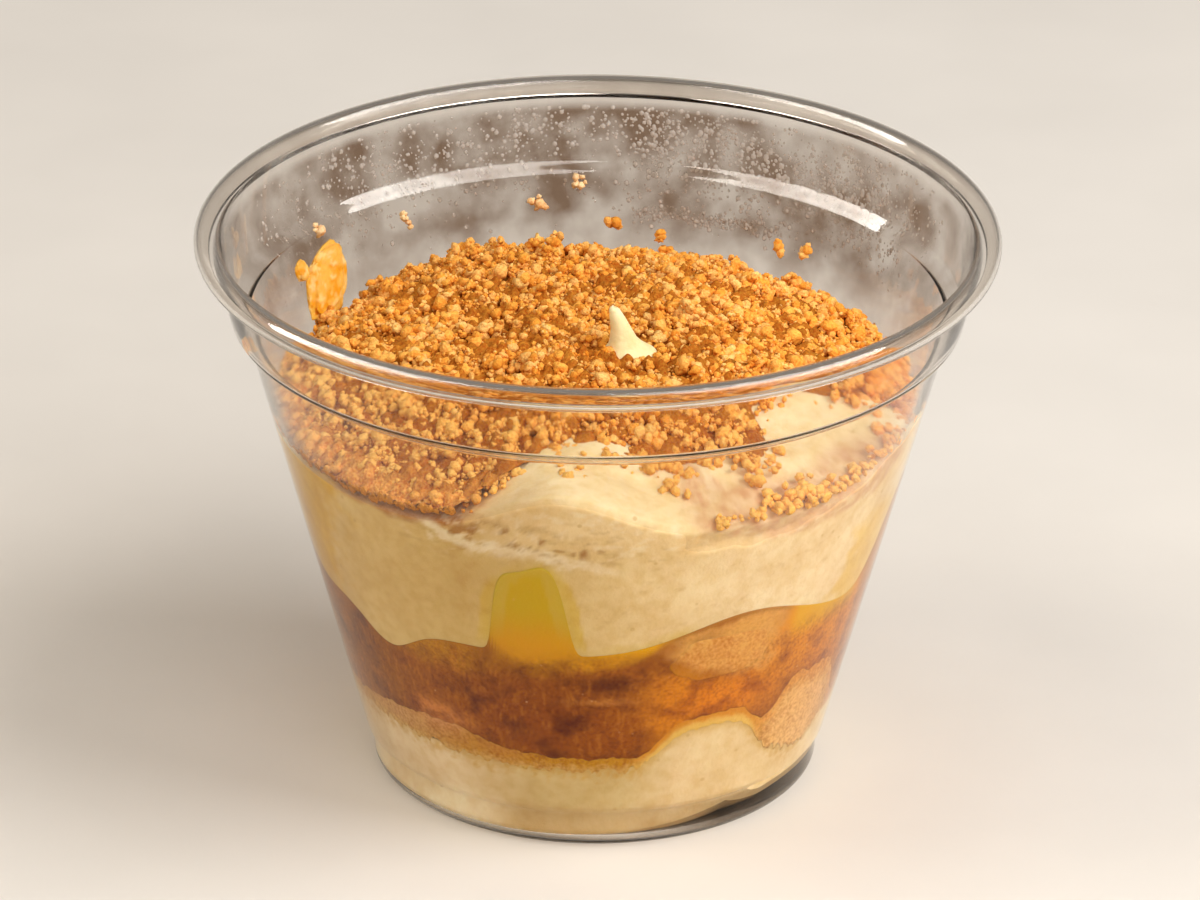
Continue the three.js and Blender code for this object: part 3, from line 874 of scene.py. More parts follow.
# %% Paint of the fruit
# Washes of syrup and fruit on the wall, with the painted shade and painted highlight of a fold: middle and
# height, half width in degrees, half height, strength.
FRUIT_WASHES = [
    ("#A2640A", -60, 22, 14, 9, 1.0),
    ("#984F01", -12, 18.5, 21, 6.5, 1.0),
    ("#A35801", 3, 17, 9, 4.5, 0.8),
    ("#E89403", 17, 21, 7, 6, 0.9),
    ("#E48802", 29, 20.5, 13, 4.0, 1.0),
    ("#E0924A", -37, 16.6, 8, 1.8, 1.0),
    ("#E18F06", 41, 26, 8, 6, 1.0),
    ("#D38204", 57, 22, 10, 6, 0.9),
    ("#CB8E04", -34, 26.6, 13, 2.2, 0.85),
    ("#BF8101", -13, 27.4, 9, 2.0, 0.9),
    # painted shade of a fold in the fruit, and below it a painted highlight on the fold's rim
    ("#7E3E01", 2, 24.6, 7.5, 1.3, 1.0),
    ("#CC8630", 1, 21.9, 8, 0.5, 0.85),
]
SYRUP_LOW = [(-22, 30), (-19, 28.2), (-13, 27.2), (-7, 26.3), (4, 26.9), (12, 29.2), (18, 31.5)]
FRUIT_FRONT = -12  # the angle from which the fruit grows paler both ways round


def slanted(angle, slope):
    """The fruit's top at angles and beside them, each raised by a slope for its distance."""
    return [fruit_top(1, angle + step) + slope * abs(step) for step in range(-3, 4)]


def fruit_paint(angle, z):
    """Colours of fruit and syrup against the wall."""
    stray = 0.9 * shag(angle, z, 3.5, 6.6)
    washes = [("#C98410", 0.9 * smooth(away_from(angle, FRUIT_FRONT), 50, 100))]
    for hex_colour, middle, height, wide, tall, strength in FRUIT_WASHES:
        washes.append((hex_colour, strength * spot(angle, z + 0.5 * stray, middle, height, wide, tall, 3)))
    streak = within(angle, -22, 17, 2) * smooth(z - line_at(angle, SYRUP_LOW) + 0.4 * stray, -0.6, 0.9)
    threads = smooth(shag(2.2 * angle, 0.5 * z, 1.0, 7.3), 0.1, 0.5)
    tongue = smooth(z, 29.5, 36) * within(angle, -30, 6, 3)
    inside_edge = np.min(slanted(angle, 0.7), axis=0) - z
    fray = 1 - smooth(inside_edge + 1.1 * shag(angle, z, 1.2, 3.9), 0.1, 1.7)
    washes += [
        ("#DC9C02", streak),
        ("#EAA602", 0.7 * streak * within(angle, -1, 16, 4)),
        ("#E29206", 0.9 * within(angle + 3 * stray, 41, 66, 3) * smooth(z + stray, 20, 25)),
        ("#E4A854", 0.95 * sponge_zone(angle, z)),
        ("#E1A703", 0.9 * within(angle, 43, 64, 2) * smooth(z + 0.4 * stray, 25.5, 28.5)),
        ("#D98A20", 0.35 * threads * (1 - smooth(z, 26, 29))),
        ("#CEA803", tongue),
        ("#D2AE3C", 0.7 * fray * tongue),
        ("#B2762A", 0.75 * smooth(z - fruit_top(1, angle), -0.7, 0) * within(angle, 14, 42, 3)),
    ]
    return washed(plain("#A8620A", angle), washes)


keep_paint(fruit, fruit_paint(angle, z), fruit_grain)
print("washes named by place:", len(FRUIT_WASHES))

# %% [markdown]
# ## The piece of sponge
# A finger of soaked sponge leans against the wall on the right, its face pressed flat by the plastic. It
# starts as a ball, is squared off a little, pushed to size, and then everything past the wall is pressed
# back onto it.

# %% Sponge finger
SPONGE_ANGLE = 27
SPONGE_MIDDLE = (29.5, 28.3)
SPONGE_HALF = (7.2, 4.4, 4.6)
SPONGE_SQUARE = 0.72
SPONGE_ROUGH = 0.10
SPONGE_PROUD = 0.13  # how far its face is pressed into the wall, past that of the fruit

sponge_finish = grainy_finish("soaked_sponge_finger", 0.6, "#DDB884", 0.12)
sponge_bm = bmesh.new()
bmesh.ops.create_icosphere(sponge_bm, subdivisions=6, radius=1)
turn = math.radians(SPONGE_ANGLE)
for vert in sponge_bm.verts:
    wide, deep, tall = (math.copysign(abs(c) ** SPONGE_SQUARE, c) for c in vert.co)
    rough = 1 + SPONGE_ROUGH * noise.fractal(vert.co * 2.2, 1.0, 2.0, 4)
    x, y, up = wide * SPONGE_HALF[0] * rough, deep * SPONGE_HALF[1], tall * SPONGE_HALF[2] * rough
    y -= SPONGE_MIDDLE[0]
    px = x * math.cos(turn) - y * math.sin(turn)
    py = x * math.sin(turn) + y * math.cos(turn)
    pz = SPONGE_MIDDLE[1] + up
    pressed = min(1.0, (float(wet_radius(pz)) + SPONGE_PROUD) / math.hypot(px, py))
    vert.co = Vector((px * pressed, py * pressed, pz)) * MM
sponge = finish_piece(sponge_bm, "sponge_finger", sponge_finish, "sponge", "sponge_piece")
angle, radius, z = points_of(sponge)
mixed = 1 - sponge_zone(angle, z)
tone = fruit_paint(angle, z) * (1 - 0.14 * mixed)[:, None]
keep_paint(sponge, tone, 0.9 - 0.7 * mixed)

# %% [markdown]
# ## The upper cream
# The second cream was spooned on and dragged: below the fold line it is pressed wet against the wall, and
# above it, where the front is bare of crumbs, it stands back with a torn, curdled face. Small pits along
# the wall are trapped air. A turned lattice carries all of it again, and a function of angle and height
# says how far the cream stands back.

# %% How far the upper cream stands back
FOLD_LINE = [(-180, 43.4), (-60, 45.0), (-54, 44.6), (-26, 43.8), (-17, 42.4), (0, 42.8), (8, 43.1)]
FOLD_LINE += [(34, 42.7), (53, 45.4), (62, 48.0), (90, 46.0), (180, 43.4)]
BARE_FRONT = (17, 68, 4)  # from and to angle of the bare cream, and how soft its ends are
GAP, TORN, PIT = 0.6, 0.3, 0.03  # depths of the gap, of the torn face in it and of the air pits


def stand_back(angle, z):
    """How far the cream's face is from the wall, in millimetres."""
    above = z - line_at(angle, FOLD_LINE) - 0.5 * shag(angle, z, 3.0, 7.7)
    gap = GAP * within(angle, *BARE_FRONT)
    torn = TORN * np.clip(shag(angle, z, 1.3, 1.4) + 0.1, 0, 1) * within(angle, *BARE_FRONT)
    pits = smooth(shag(angle, z, 2.1, 9.3), 0.6, 0.9)
    return smooth(above, 0, 1.2) * (gap + torn) + PIT * smooth(z, 33, 40) * pits


print("stands back at 40 degrees in mm:", np.round(stand_back(np.full(3, 40.0), np.array([40, 44, 46])), 2))

# %% Upper cream
UPPER_SIDE_ROWS = 66
UPPER_TOP_ROWS = 64
LIP = 0.8  # how far the cream's upper edge is rounded off
RAG_MM, RAG_RISE = 5.0, 0.5
upper_rows = layer_rows(10, UPPER_SIDE_ROWS, UPPER_TOP_ROWS)

# The cream runs on behind the steep tongues of syrup, so that its rows stay even.
STEEP = 10
GENTLE_SWELLS = [swell for swell in FRUIT_SWELLS if swell[2] < STEEP]
UNDERLAP = 0.15


def cream_base(share, angle):
    return boundary(FRUIT, GENTLE_SWELLS, share, angle) - UNDERLAP


def place_upper_cream(share, key, angle):
    low, high = cream_base(1, angle), upper_edge(angle)
    if key == "side":
        z = low + (high - low) * share
        lip = LIP * smooth(share, 0.93, 1.0) ** 2
        return wet_radius(z) - stand_back(angle, z) - lip, z
    if key == "under":
        return share * wet_radius(low), cream_base(share, angle)
    start = wet_radius(high) - stand_back(angle, high) - LIP
    x, y = at_angle(share * CREAM_SPAN, angle)
    rag = np.array([noise.fractal(Vector((px, -py, 0)) / RAG_MM, 1.0, 2.0, 4) for px, py in zip(x, y)])
    return share * start, upper_cream_top(share, angle) + RAG_RISE * rag * (1 - share**6)


upper_bm = turned_layer(upper_rows, WALL_STEPS, place_upper_cream)
upper_cream = finish_piece(upper_bm, "cream_upper_bed", cream, "cream", "cream_upper")

# %% Paint of the upper cream
# RIDGE is a fold at the left that is only painted: a painted highlight along it and painted shade above it
RIDGE = [(-60, 48.2), (-47, 47.4), (-35, 46.9), (-30, 45.2), (-25, 43.7), (-15, 43.6), (-7, 42.6), (3, 41.4)]
PINK_LOW = [(15, 46.9), (21, 45.3), (29, 43.9), (37, 42.8), (50, 42.9), (59, 43.9), (66, 45.8)]
PINK_HIGH = [(19, 51.5), (23, 49.2), (28, 47.3), (36, 46.7), (48, 46.9), (54, 47.8), (64, 48.4)]
UPPER_CREAM_TONES = [(-180, "#F3D9A4"), (-90, "#EBCB88"), (-43, "#E9CA86"), (-27, "#DEBE78"), (-8, "#E6C98A")]
UPPER_CREAM_TONES += [(10, "#F2D7A2"), (30, "#F9E3BA"), (60, "#F8E0B4"), (180, "#F3D9A4")]

angle, radius, z = points_of(upper_cream)
stray = shag(angle, z, 2.6, 3.3)
fine_stray = shag(angle, z, 0.9, 8.8)
edge = z - upper_edge(angle)
past = z - line_at(angle, RIDGE)
# painted shade above the fold at the left, then a painted highlight along it, then mottled painted shade
painted_shade_past_ridge = smooth(past + 0.5 * stray, 0.3, 1.6) * within(angle, -66, -22, 6)
painted_ridge_highlight = 1 - smooth(np.abs(past + 0.7 * stray + 0.5 * fine_stray), 0.2, 1.0)
painted_shade_blotch = smooth(shag(angle, z, 2.4, 6.2) + 0.8 * fine_stray, -0.05, 0.45) * smooth(past, 0.2, 1.2)
# painted reflection: the pinkish grey that the air gap behind the wall mirrors, on the bare front
painted_gap_reflection = smooth(z - line_at(angle, PINK_LOW) + 0.6 * stray, -0.5, 0.9) * within(angle, 18, 68, 3)
painted_gap_reflection = painted_gap_reflection * (1 - smooth(z - line_at(angle, PINK_HIGH), 0.5, 1.5))
beside = np.max(slanted(angle, -0.7), axis=0) - z
seep = smooth(beside + 0.7 * stray, -1.7, 0.2) * within(angle, -24, 19, 3) * smooth(z, 28, 31)
left_film = smooth(-angle + 5 * stray + 0.5 * (z - 33), 55, 64) * within(angle, -125, 0, 8)
right_film = smooth(angle + 5 * stray - 0.5 * (z - 33), 52, 60) * within(angle, 0, 110, 8)
dashes = smooth(shag(angle, 2.6 * z, 1.9, 4.7), 0.28, 0.6) * smooth(z, 40.5, 42.5) * (1 - smooth(z, 47.5, 49))
pale = smooth(shag(angle, 1.6 * z, 1.5, 9.9), 0.15, 0.5) * smooth(z, 41, 44)
specks = smooth(shag(angle, 1.7 * z, 1.5, 12.3), 0.42, 0.7) * within(angle, -4, 52, 6)
washes = [
    ("#F5DAA6", 0.9 * smooth(z, 41, 46) * within(angle, -20, 90, 6)),
    ("#FFF0C8", 0.85 * smooth(edge, -1.5, 0) * within(angle, -34, 80, 6)),
    # painted shade above the fold, a painted highlight along it, and mottled painted shade
    ("#E0B06A", 0.8 * painted_shade_past_ridge),
    ("#FBEBC8", 0.9 * painted_ridge_highlight * within(angle, -50, 2, 6)),
    ("#AC7430", 0.85 * painted_shade_blotch * (1 - smooth(past, 2.0, 5)) * within(angle, -44, 2, 6)),
    # painted reflection of the air gap on the bare front
    ("#E2B892", (0.75 + 0.5 * fine_stray) * painted_gap_reflection),
    ("#B06A1E", 0.8 * smooth(edge + 0.7 * stray, -1.7, -0.3) * within(angle, -72, -24, 4)),
    ("#E2BE50", 0.8 * seep),
    ("#E6B62C", 0.9 * left_film * (1 - smooth(z, 46, 49))),
    ("#F3CC66", 0.8 * right_film * (1 - smooth(z, 39, 42))),
    ("#B98A48", 0.28 * dashes * within(angle, -38, 16, 5)),
    ("#FBEBC8", 0.5 * pale * within(angle, -36, 60, 6)),
    ("#CDA468", 0.25 * specks * smooth(z, 30, 33) * (1 - smooth(z, 40, 42))),
]
keep_paint(upper_cream, washed(tones_round(angle, UPPER_CREAM_TONES), washes))
print("washes on the upper cream:", len(washes))

# %% [markdown]
# ## The peak
# Where the spoon was pulled away the cream drew out into a small peak with a broad toe at the right. A
# short profile is spun, then leaned and drawn out sideways with a rule for each height.

# %% Peak
PEAK_FOOT = (3.3, -2.6, 51.0)
PEAK_HEIGHT = 8.5
PEAK_LEAN = -1.5
PEAK_TOE = 2.6
PEAK_RIPPLE_MM, PEAK_RIPPLE = 1.9, 0.10
peak_profile = [(0, -0.2), (3.2, 0), (3.0, 1.6), (2.6, 2.7), (1.8, 3.5), (1.35, 4.3), (1.1, 5.4), (0.9, 6.8)]
peak_profile += [(0.6, 8.0), (0, PEAK_HEIGHT)]

peak_bm = turned(rounded(peak_profile, [0.4, 1, 0.8, 1.2, 1.5, 2, 2, 0.4]), 40)
for vert in peak_bm.verts:
    x, y, up = vert.co
    share = max(up, 0) / PEAK_HEIGHT
    toe = PEAK_TOE * (1 - share) * (x / 4) if x > 0 else 0
    ripple = 1 + PEAK_RIPPLE * noise.noise(Vector((x, y, up)) / PEAK_RIPPLE_MM)
    spot_mm = Vector((x * ripple + PEAK_LEAN * share**2 + toe, y * ripple, up))
    vert.co = (spot_mm + Vector(PEAK_FOOT)) * MM
close_up(peak_bm)
peak = finish_piece(peak_bm, "cream_peak", cream, "cream")
keep_paint(peak, plain("#FFF3C6", peak.data.vertices))

# %% [markdown]
# ## The crumb topping
# Baked butter crumbs, one to two millimetres across, thrown on by hand until they heap up. What lies
# below is a core whose relief is as coarse as the crumbs. On it real crumbs are settled one after
# another: each sinks a little into what lies under it, as on the real dessert, so they pile up in clumps.

# %% Core of the crumbs
BARE_PATCHES = [(-3, 17, 0.33, 4), (28, 16, 0.3, 4), (57, 13, 0.4, 4)]
CORE_ROWS = 90
CORE_STEPS = 560
CRUMB_CORE_DEPTH = 1.0
CORE_SUNK, CORE_INSET = 1.0, 0.9  # how far its under-face is below the cream's top, and from the wall
CORE_CLEAR = 0.25  # gap between the core's edge and the wall
BUMP_MM, BUMP_RISE = 1.5, 1.1
DUNE_MM, DUNE_RISE = 6.0, 0.7
SOAKED_RIM = (-84, -14, 35.5)  # from and to angle, and radius past which crumbs are pressed into cream
AT_THE_WALL = (-95, 60, 10)  # from and to angle where crumbs show through the wall, and softness

baked = grainy_finish("baked_butter_crumbs", 0.75, "#D89C5A", 0.3, 0.32, 0.06)
core_rows = rows_between(0, 1, 4, "under")[:-1] + rows_between(1, 0, CORE_ROWS, "top")


def crumb_reach(angle):
    """Share of the radius that crumbs cover, less at the bare patches."""
    return 1 - swollen(0, BARE_PATCHES, angle)


def core_top(share, angle):
    reach = share * crumb_reach(angle)
    return upper_cream_top(reach, angle) + CRUMB_CORE_DEPTH * (1 - share**8)


def soaked_side(angle):
    """Where round the cup the crumbs at the wall are pressed into the cream."""
    return within(angle, *SOAKED_RIM[:2], 6)


def soaked_rim(angle, radius):
    return soaked_side(angle) * smooth(radius, SOAKED_RIM[2], SOAKED_RIM[2] + 1.5)


def place_core(share, key, angle):
    reach = share * crumb_reach(angle)
    height = upper_cream_top(reach, angle)
    if key == "under":
        return reach * (inner_radius(height) - CORE_INSET), height - CORE_SUNK
    pressed = soaked_side(angle) * smooth(share, 0.82, 0.97)
    edge = inner_radius(height + 1) - CORE_CLEAR + 0.2 * pressed
    x, y = at_angle(reach * CREAM_SPAN, angle)
    places = [Vector((px, -py, 0)) for px, py in zip(x, y)]
    bumps = 0.5 - np.array([noise.noise(where / BUMP_MM, noise_basis="VORONOI_F1") for where in places])
    slice_up = Vector((0, 0, 0.5))
    dunes = np.array([noise.fractal(where / DUNE_MM + slice_up, 1.0, 2.0, 2) for where in places])
    relief = (BUMP_RISE * bumps + DUNE_RISE * dunes) * (1 - share**8)
    return reach * edge, core_top(share, angle) - 0.5 + relief + (0.8 + 0.9 * bumps) * pressed


core_bm = turned_layer(core_rows, CORE_STEPS, place_core)
core = finish_piece(core_bm, "crumb_core", baked, "crumbs", "crumb_topping")

# %% Paint of the core
angle, radius, z = points_of(core)
rim_share = soaked_rim(angle, radius)
contact = smooth(upper_edge(angle) + 1.0 + 0.5 * shag(angle, z, 1.5, 8.1) - z, 0, 0.8)
washes = [
    # painted light: the core is paler at the wall, where it shows through in shade
    ("#DC9C48", 0.75 * smooth(radius, 32, 36) * within(angle, *AT_THE_WALL)),
    # partly pale crumb dust soaked in cream, partly painted light that lifts the shaded left
    ("#FFC068", 0.9 * rim_share),
    ("#B8721E", 0.85 * rim_share * contact),
]
# painted shade: the core's own tone is dark, to stand for the shade in the gaps between crumbs
tone = washed(plain("#BC7826", angle), washes) * (1 + 0.3 * shag(angle, z, 0.5, 2.7))[:, None]
keep_paint(core, tone, np.ones(len(tone)))
print("points of the core on the soaked rim:", (rim_share > 0.5).sum())

# %% Crumb shapes
rng = np.random.default_rng(11)
SHAPES_PER_KIND = 16
JITTER = 0.08


def crumb_shapes(subdivisions, roughness):
    """Craggy grains of radius 1, each from an icosphere pushed in and out."""
    shapes = []
    for index in range(SHAPES_PER_KIND):
        bm = bmesh.new()
        bmesh.ops.create_icosphere(bm, subdivisions=subdivisions, radius=1)
        stretch = Vector(rng.uniform(0.66, 1.22, 3))
        for vert in bm.verts:
            swell = 1 + roughness * noise.fractal(vert.co * 1.6 + Vector((index, 5, 9)), 1.0, 2.2, 3)
            swell += rng.normal(0, JITTER)
            vert.co = Vector(c * s * swell for c, s in zip(vert.co, stretch))
        shapes.append(arrays_of(bm))
        bm.free()
    return shapes


def turned_at_random():
    """A turn by any angle round any axis."""
    axis = Vector(rng.normal(size=3)).normalized()
    return np.array(Matrix.Rotation(rng.uniform(0, 2 * math.pi), 3, axis))


# %% The bed that the crumbs fall on
CELL = 0.25
FIELD = 340  # cells across the heap
HEAP_Z = 50.0  # height at which the heap meets the wall
CORE_SINK = 0.25  # how far crumbs settle into the core's relief
DRIFT = (-11, 28, 120)  # x and y of a higher drift at the back, and how wide it is
HEAP_CAP = 0.6  # how high the heap may stand above its bed, before the dunes


def cream_or_core(x, y):
    """Height of what lies under the loose crumbs."""
    angle = np.degrees(np.arctan2(x, -y))
    share = np.hypot(x, y) / (inner_radius(HEAP_Z) - CORE_CLEAR)
    reach = crumb_reach(angle)
    on_core = core_top(np.clip(share / reach, 0, 1), angle) - CORE_SINK
    return np.where(share < reach, on_core, upper_cream_top(np.clip(share, 0, 1), angle))


grid = (np.arange(FIELD) - FIELD // 2) * CELL
grid_x, grid_y = np.meshgrid(grid, grid, indexing="ij")
grid_angle, grid_radius = np.degrees(np.arctan2(grid_x, -grid_y)), np.hypot(grid_x, grid_y)
bed_height = cream_or_core(grid_x, grid_y)
heap_height = bed_height + HEAP_CAP * soaked_side(grid_angle) * smooth(grid_radius, 33, 38)
heap_limit = bed_height + HEAP_CAP
for index in np.ndindex(heap_limit.shape):
    where = Vector((grid_x[index], grid_y[index], 5.0))
    heap_limit[index] += 1.5 * noise.fractal(where / 4.5, 1.0, 2.0, 2) + 0.9 * noise.noise(where / 2.2)
from_middle = grid_radius / inner_radius(HEAP_Z)
to_edge = from_middle / crumb_reach(grid_angle)
heap_limit -= 0.9 * smooth(to_edge, 0.75, 1.0) * (to_edge > from_middle * 1.1)
heap_limit += 1.3 * np.exp(-((grid_x - DRIFT[0]) ** 2 + (grid_y - DRIFT[1]) ** 2) / DRIFT[2])
print("highest that crumbs may lie in mm:", round(float(heap_limit.max()), 1))

# %% Let the crumbs settle
CLUMP_MM = 0.7
SINK = 0.45  # how far a crumb sinks into its bed, as a share of its radius
PROP = 0.75  # how high its top carries the next one, as a share of its radius
STRAY = 0.5  # how far single crumbs stand out of the heap
PEAK_CLEARING = (1.0, -0.5, 1.3, 2.3)  # x and y from the peak's foot, how much wider than deep, and radius


def to_cell(x):
    return int(round(x / CELL)) + FIELD // 2


def settle(x, y, size):
    """Drops a crumb: returns the height of its middle, and raises the field under it."""
    reach = max(1, int(size * 0.8 / CELL))
    i, j = to_cell(x), to_cell(y)
    window = (slice(i - reach, i + reach + 1), slice(j - reach, j + reach + 1))
    bed = heap_height[window]
    z = min(float(np.median(bed)) + size * (1 - SINK), heap_limit[i, j] + rng.uniform(0, STRAY))
    if SOAKED_RIM[0] < math.degrees(math.atan2(x, -y)) < SOAKED_RIM[1] and math.hypot(x, y) > SOAKED_RIM[2]:
        z -= 0.1 * size
    far = np.hypot(grid_x[window] - x, grid_y[window] - y) / size
    dome = z + size * PROP * np.sqrt(np.clip(1 - far**2, 0, 1))
    heap_height[window] = np.where(far < 1, np.maximum(bed, dome), bed)
    return z


def near_peak(x, y):
    right, back, wide, radius = PEAK_CLEARING
    return math.hypot((x - PEAK_FOOT[0] - right) / wide, y - PEAK_FOOT[1] - back) < radius


def scattered(count, clump, low, high):
    """Places for crumbs, in clumps: x, y and size."""
    places = []
    while len(places) < count:
        share = math.sqrt(rng.uniform(0, 1))
        angle = rng.uniform(-180, 180)
        if share > crumb_reach(np.array([angle]))[0]:
            continue
        x0, y0 = at_angle(share * (CREAM_SPAN + 0.5), angle)
        for _ in range(rng.integers(1, clump + 1)):
            x, y = x0 + rng.normal(0, CLUMP_MM), y0 + rng.normal(0, CLUMP_MM)
            size = rng.uniform(low, high)
            if math.hypot(x, y) <= inner_radius(HEAP_Z + 1) - size * 0.7 and not near_peak(x, y):
                places.append((x, y, size))
    return places[:count]


print("cells of the field that crumbs can lie on:", (grid_radius < CREAM_SPAN).sum())

# %% Colour the crumbs and join them
CRUMB_TONES = ["#FFC064", "#FAB24C", "#FFCE7C", "#F4A842", "#FFC670", "#FCB854"]
SYRUP_STAIN = (-0.5, -3.6, 2.6)  # x, y and half width of a patch of crumbs that is wet with syrup
UNDERSIDE_SHADE = np.array([0.92, 0.8, 0.58])  # painted shade: what is left of a crumb's colour on its underside


def tones_for(crumbs):
    """A colour for each crumb, from where it lies."""
    picked = rng.integers(len(CRUMB_TONES), size=len(crumbs))
    table = np.array([colour_of(t) for t in CRUMB_TONES])
    tones = table[picked] * rng.uniform(0.9, 1.08, (len(crumbs), 1))
    places = np.array([crumb[:3] for crumb in crumbs])
    angle, radius, height = round_the_cup(places)
    away = np.hypot(places[:, 0] - SYRUP_STAIN[0], places[:, 1] - SYRUP_STAIN[1]) / SYRUP_STAIN[2]
    rim_share = soaked_rim(angle, radius)
    washes = [
        ("#E88C14", 0.75 * np.exp(-(away**2))),
        # painted light: crumbs at the wall are paler, where they lie in shade
        ("#FFCC70", 0.9 * within(angle, *AT_THE_WALL) * smooth(radius, 20, 30)),
        # partly pale crumbs soaked in cream, partly painted light that lifts the shaded left
        ("#FFBE64", 0.8 * rim_share),
        ("#CE8628", 0.8 * rim_share * smooth(upper_edge(angle) + 1.6 - height, 0, 0.8)),
    ]
    # painted light: crumbs grow lighter towards the right, where the key light falls
    tones = washed(tones, washes) * (1 + 0.14 * smooth(places[:, 0], 4, 24))[:, None]
    return washed(tones, [("#FFE4BA", 0.85 * smooth(height, 52, 54) * smooth(radius, 39, 40.5))])


def joined_crumbs(name, shapes, crumbs):
    """One mesh of many crumbs, from the shapes' arrays."""
    all_points, all_faces, all_tones = [], [], []
    offset = 0
    for (*middle, size), tone in zip(crumbs, tones_for(crumbs)):
        points, faces = shapes[rng.integers(len(shapes))]
        turned_points = points @ turned_at_random().T
        moved = turned_points * size + np.array(middle)
        angle, radius, height = round_the_cup(moved)
        shrink = np.minimum(1, (inner_radius(height) - 0.02) / np.maximum(radius, 1e-6))
        moved[:, :2] *= shrink[:, None]
        all_points.append(moved)
        all_faces.append(faces + offset)
        # painted shade: each crumb is darker on its underside
        all_tones.append(tone * (UNDERSIDE_SHADE + (1 - UNDERSIDE_SHADE) * smooth(turned_points[:, 2:], -0.7, 0.7)))
        offset += len(points)
    points = np.concatenate(all_points)
    mesh = bpy.data.meshes.new(name)
    mesh.from_pydata((points * MM).tolist(), [], np.concatenate(all_faces).tolist())
    piece = finish_mesh(mesh, name, baked, "crumbs")
    angle, radius, height = round_the_cup(points)
    # painted light: crumbs at the wall get less dark grain, where they lie in shade
    near_wall = within(angle, *AT_THE_WALL) * smooth(radius, 30, 36)
    keep_paint(piece, np.concatenate(all_tones), 0.7 - 0.4 * near_wall)


print("tones of a crumb:", len(CRUMB_TONES))

# %% Four sizes of crumbs
fine_shapes = crumb_shapes(1, 0.3)
crumb_like = crumb_shapes(2, 0.55)
KINDS = [
    ("crumbs_coarse", crumb_like, 1300, 4, 0.55, 0.86),
    ("crumbs_medium", crumb_like, 2450, 5, 0.38, 0.6),
    ("crumbs_small", crumb_like, 2450, 5, 0.28, 0.44),
    ("crumbs_fine", fine_shapes, 9600, 6, 0.15, 0.28),
]
for name, shapes, count, clump, low, high in KINDS:
    settled = [(x, y, settle(x, y, size), size) for x, y, size in scattered(count, clump, low, high)]
    joined_crumbs(name, shapes, settled)
    print(name, "top of the heap in mm:", round(max(z + s for _, _, z, s in settled), 1))

# %% Crumbs that lie apart
# Clusters on the bare cream: angle, radius, spread in mm and number of crumbs.
BARE_CLUSTERS = [(17, 31, 1.0, 14), (35, 31, 1.2, 12), (34, 36, 1.1, 14), (39, 36.3, 0.9, 12)]
BARE_CLUSTERS += [(43, 37, 1.1, 14), (75, 34.5, 2.6, 70), (66, 37, 1.2, 16), (-5, 33, 1.0, 10)]
BARE_CLUSTERS += [(28, 25, 3.0, 30)]
CONTACT_ROW = (22, 66, 110)  # from and to angle, and number of crumbs
# Crumbs stuck to the wall above the heap: angle and height.
ON_THE_WALL = [(-125.2, 57.2), (-144.5, 54.9), (-169.7, 54.5), (-176.9, 56.5), (177.4, 52.0)]
ON_THE_WALL += [(-172, 50.5), (168.6, 50.4), (145.9, 51.6), (140.1, 51.9)]

apart = []
for turn, radius, spread, count in BARE_CLUSTERS:
    x0, y0 = at_angle(radius, turn)
    for _ in range(count):
        size = rng.uniform(0.3, 0.8)
        x, y = x0 + rng.normal(0, spread), y0 + rng.normal(0, spread)
        press = min(1, (float(inner_radius(HEAP_Z - 1)) - size) / math.hypot(x, y))
        apart.append((x * press, y * press, settle(x * press, y * press, size), size))
for _ in range(CONTACT_ROW[2]):
    turn, size = rng.uniform(*CONTACT_ROW[:2]), rng.uniform(0.22, 0.6)
    height = float(upper_edge(turn)) + rng.uniform(-0.1, 1.0)
    radius = inner_radius(height) - size * 0.8 - 1.8 * rng.uniform() ** 2
    apart.append((*at_angle(radius, turn), height, size))
for turn, height in ON_THE_WALL:
    for _ in range(5):
        size = rng.uniform(0.3, 0.7)
        high = height + rng.normal(0, 0.38)
        apart.append((*at_angle(inner_radius(high) - size * 0.5, turn + rng.normal(0, 0.6)), high, size))
joined_crumbs("crumbs_apart", crumb_like, apart)
print("crumbs that lie apart:", len(apart))

# %% [markdown]
# ## The smear on the wall
# When the fruit went in, a little of it touched the wall at the back left and stayed there, with two small
# drops. Each is a thin translucent lump, flat where it sticks: a ball pushed against the wall's curve.

# %% Smear
SMEAR = (-123.5, 47.4, 55.3, 3.8, 1.2)  # angle, low and high, half width and depth
SMEAR_DROPS = [(-117.6, 53.0, 55.4, 1.2, 0.8), (-71, 58.2, 60.0, 0.9, 0.5)]
SMEAR_SLANT = 2.0
LUMP_SQUARE, LUMP_ROUGH, LUMP_FLAT = 0.8, 0.16, 0.15


def wall_lump(bm, turn, low, high, half_width, depth, slant=0.0):
    """Adds a lump that sticks to the wall, flat behind and round in front."""
    made = bmesh.ops.create_icosphere(bm, subdivisions=5, radius=1)
    for vert in made["verts"]:
        lump = 1 + LUMP_ROUGH * noise.fractal(vert.co * 1.7 + Vector((3, 1, 4)), 1.0, 2.0, 3)
        across = math.copysign(abs(vert.co.x) ** LUMP_SQUARE, vert.co.x) * lump
        up = math.copysign(abs(vert.co.z) ** LUMP_SQUARE, vert.co.z) * lump
        height = (low + high) / 2 + up * (high - low) / 2
        inward = max(vert.co.y, -LUMP_FLAT) * depth * lump
        radius = float(inner_radius(height)) + 0.05 - inward - LUMP_FLAT * depth
        angle = turn - slant * up + math.degrees(across * half_width / radius)
        vert.co = Vector((*at_angle(radius, angle), height)) * MM


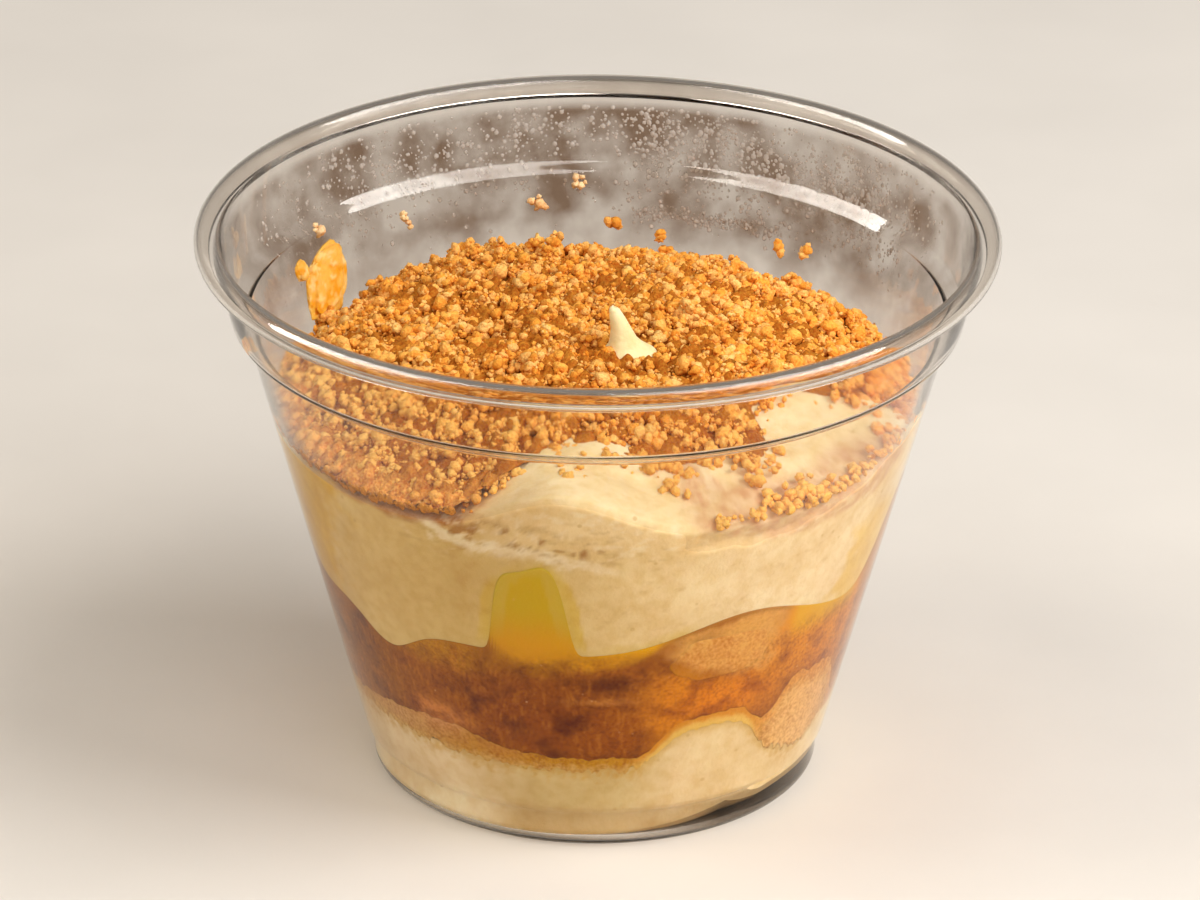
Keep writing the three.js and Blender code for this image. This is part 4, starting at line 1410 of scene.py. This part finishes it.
smear_bm = bmesh.new()
wall_lump(smear_bm, *SMEAR, SMEAR_SLANT)
for drop in SMEAR_DROPS:
    wall_lump(smear_bm, *drop)
close_up(smear_bm)
smear = finish_piece(smear_bm, "fruit_smear_on_wall", stewed_fruit, "fruit_puree", "fruit_smear")
angle, radius, z = points_of(smear)
washes = [
    ("#E29A22", smooth(shag(angle, z, 1.3, 4.4), -0.1, 0.4)),
    ("#F4D08A", 0.8 * smooth(shag(angle, z, 0.9, 2.4), 0.1, 0.5)),
]
keep_paint(smear, washed(plain("#E9B04C", angle), washes), np.full(len(z), 0.25))

# %% [markdown]
# ## Moisture
# The cold filling made moisture settle on the inside of the cup, most of it high on the back wall. Each
# droplet is a flat dome of a few faces, because there are thousands of them, with the IOR of water.

# %% Droplets on the wall
WATER_IOR = 1.33
DROP_SIZES = (0.12, 0.4)
DROP_FLATNESS = 0.3
DROPS_FROM = 50.5
DROPS_TO = BAND_HIGH[1] - 0.6
# Zones of droplets: middle angle and half width, middle height and half height, number.
DROP_ZONES = [(180, 70, 59, 7, 900), (150, 24, 60, 5, 900), (132, 14, 58, 5, 250), (-150, 20, 61, 5, 300)]
DROP_ZONES += [(160, 14, 53, 1, 300), (176, 18, 63, 2, 250)]


def moisture_finish(name):
    """Fine droplets scatter the light, so that together they look pale grey rather than clear."""
    material, add, place = new_material(name)
    cloud = add("TexNoise", sized(CLOUD_MM, place, 2.0))
    tone = add("ValToRGB", {"ramp": [(0.35, "#BDB2A8"), (0.65, "#EDE8E2")], "Fac": cloud})
    drop = {"IOR": WATER_IOR, "Roughness": 0.15, "Alpha": 0.38, "Base Color": tone}
    return surfaced(material, add("BsdfPrincipled", drop))


water = moisture_finish("settled_moisture")
drop_bm = bmesh.new()
bmesh.ops.create_icosphere(drop_bm, subdivisions=1, radius=1)
drop_points, drop_faces = arrays_of(drop_bm)
drop_x, drop_y, drop_z = drop_points.T
drop_bm.free()

drops, faces = [], []
for middle, wide, height, tall, count in DROP_ZONES:
    for _ in range(count):
        turn = middle + wide * rng.uniform(-1, 1)
        z = min(height + tall * rng.normal(0, 0.5), DROPS_TO)
        size = DROP_SIZES[0] + (DROP_SIZES[1] - DROP_SIZES[0]) * rng.uniform() ** 3
        if z < DROPS_FROM:
            continue
        heights = z + drop_z * size
        reach = inner_radius(heights)
        turns = turn + np.degrees(drop_x * size / reach)
        inward = np.maximum(drop_y, -0.1) * size * DROP_FLATNESS
        faces.append(drop_faces + len(drops) * len(drop_x))
        drops.append(np.stack([*at_angle(reach - inward, turns), heights], 1))
moisture_mesh = bpy.data.meshes.new("moisture_on_wall")
moisture_mesh.from_pydata((np.concatenate(drops) * MM).tolist(), [], np.concatenate(faces).tolist())
finish_mesh(moisture_mesh, "moisture_on_wall", water, "clear_plastic")
print("droplets:", len(drops))
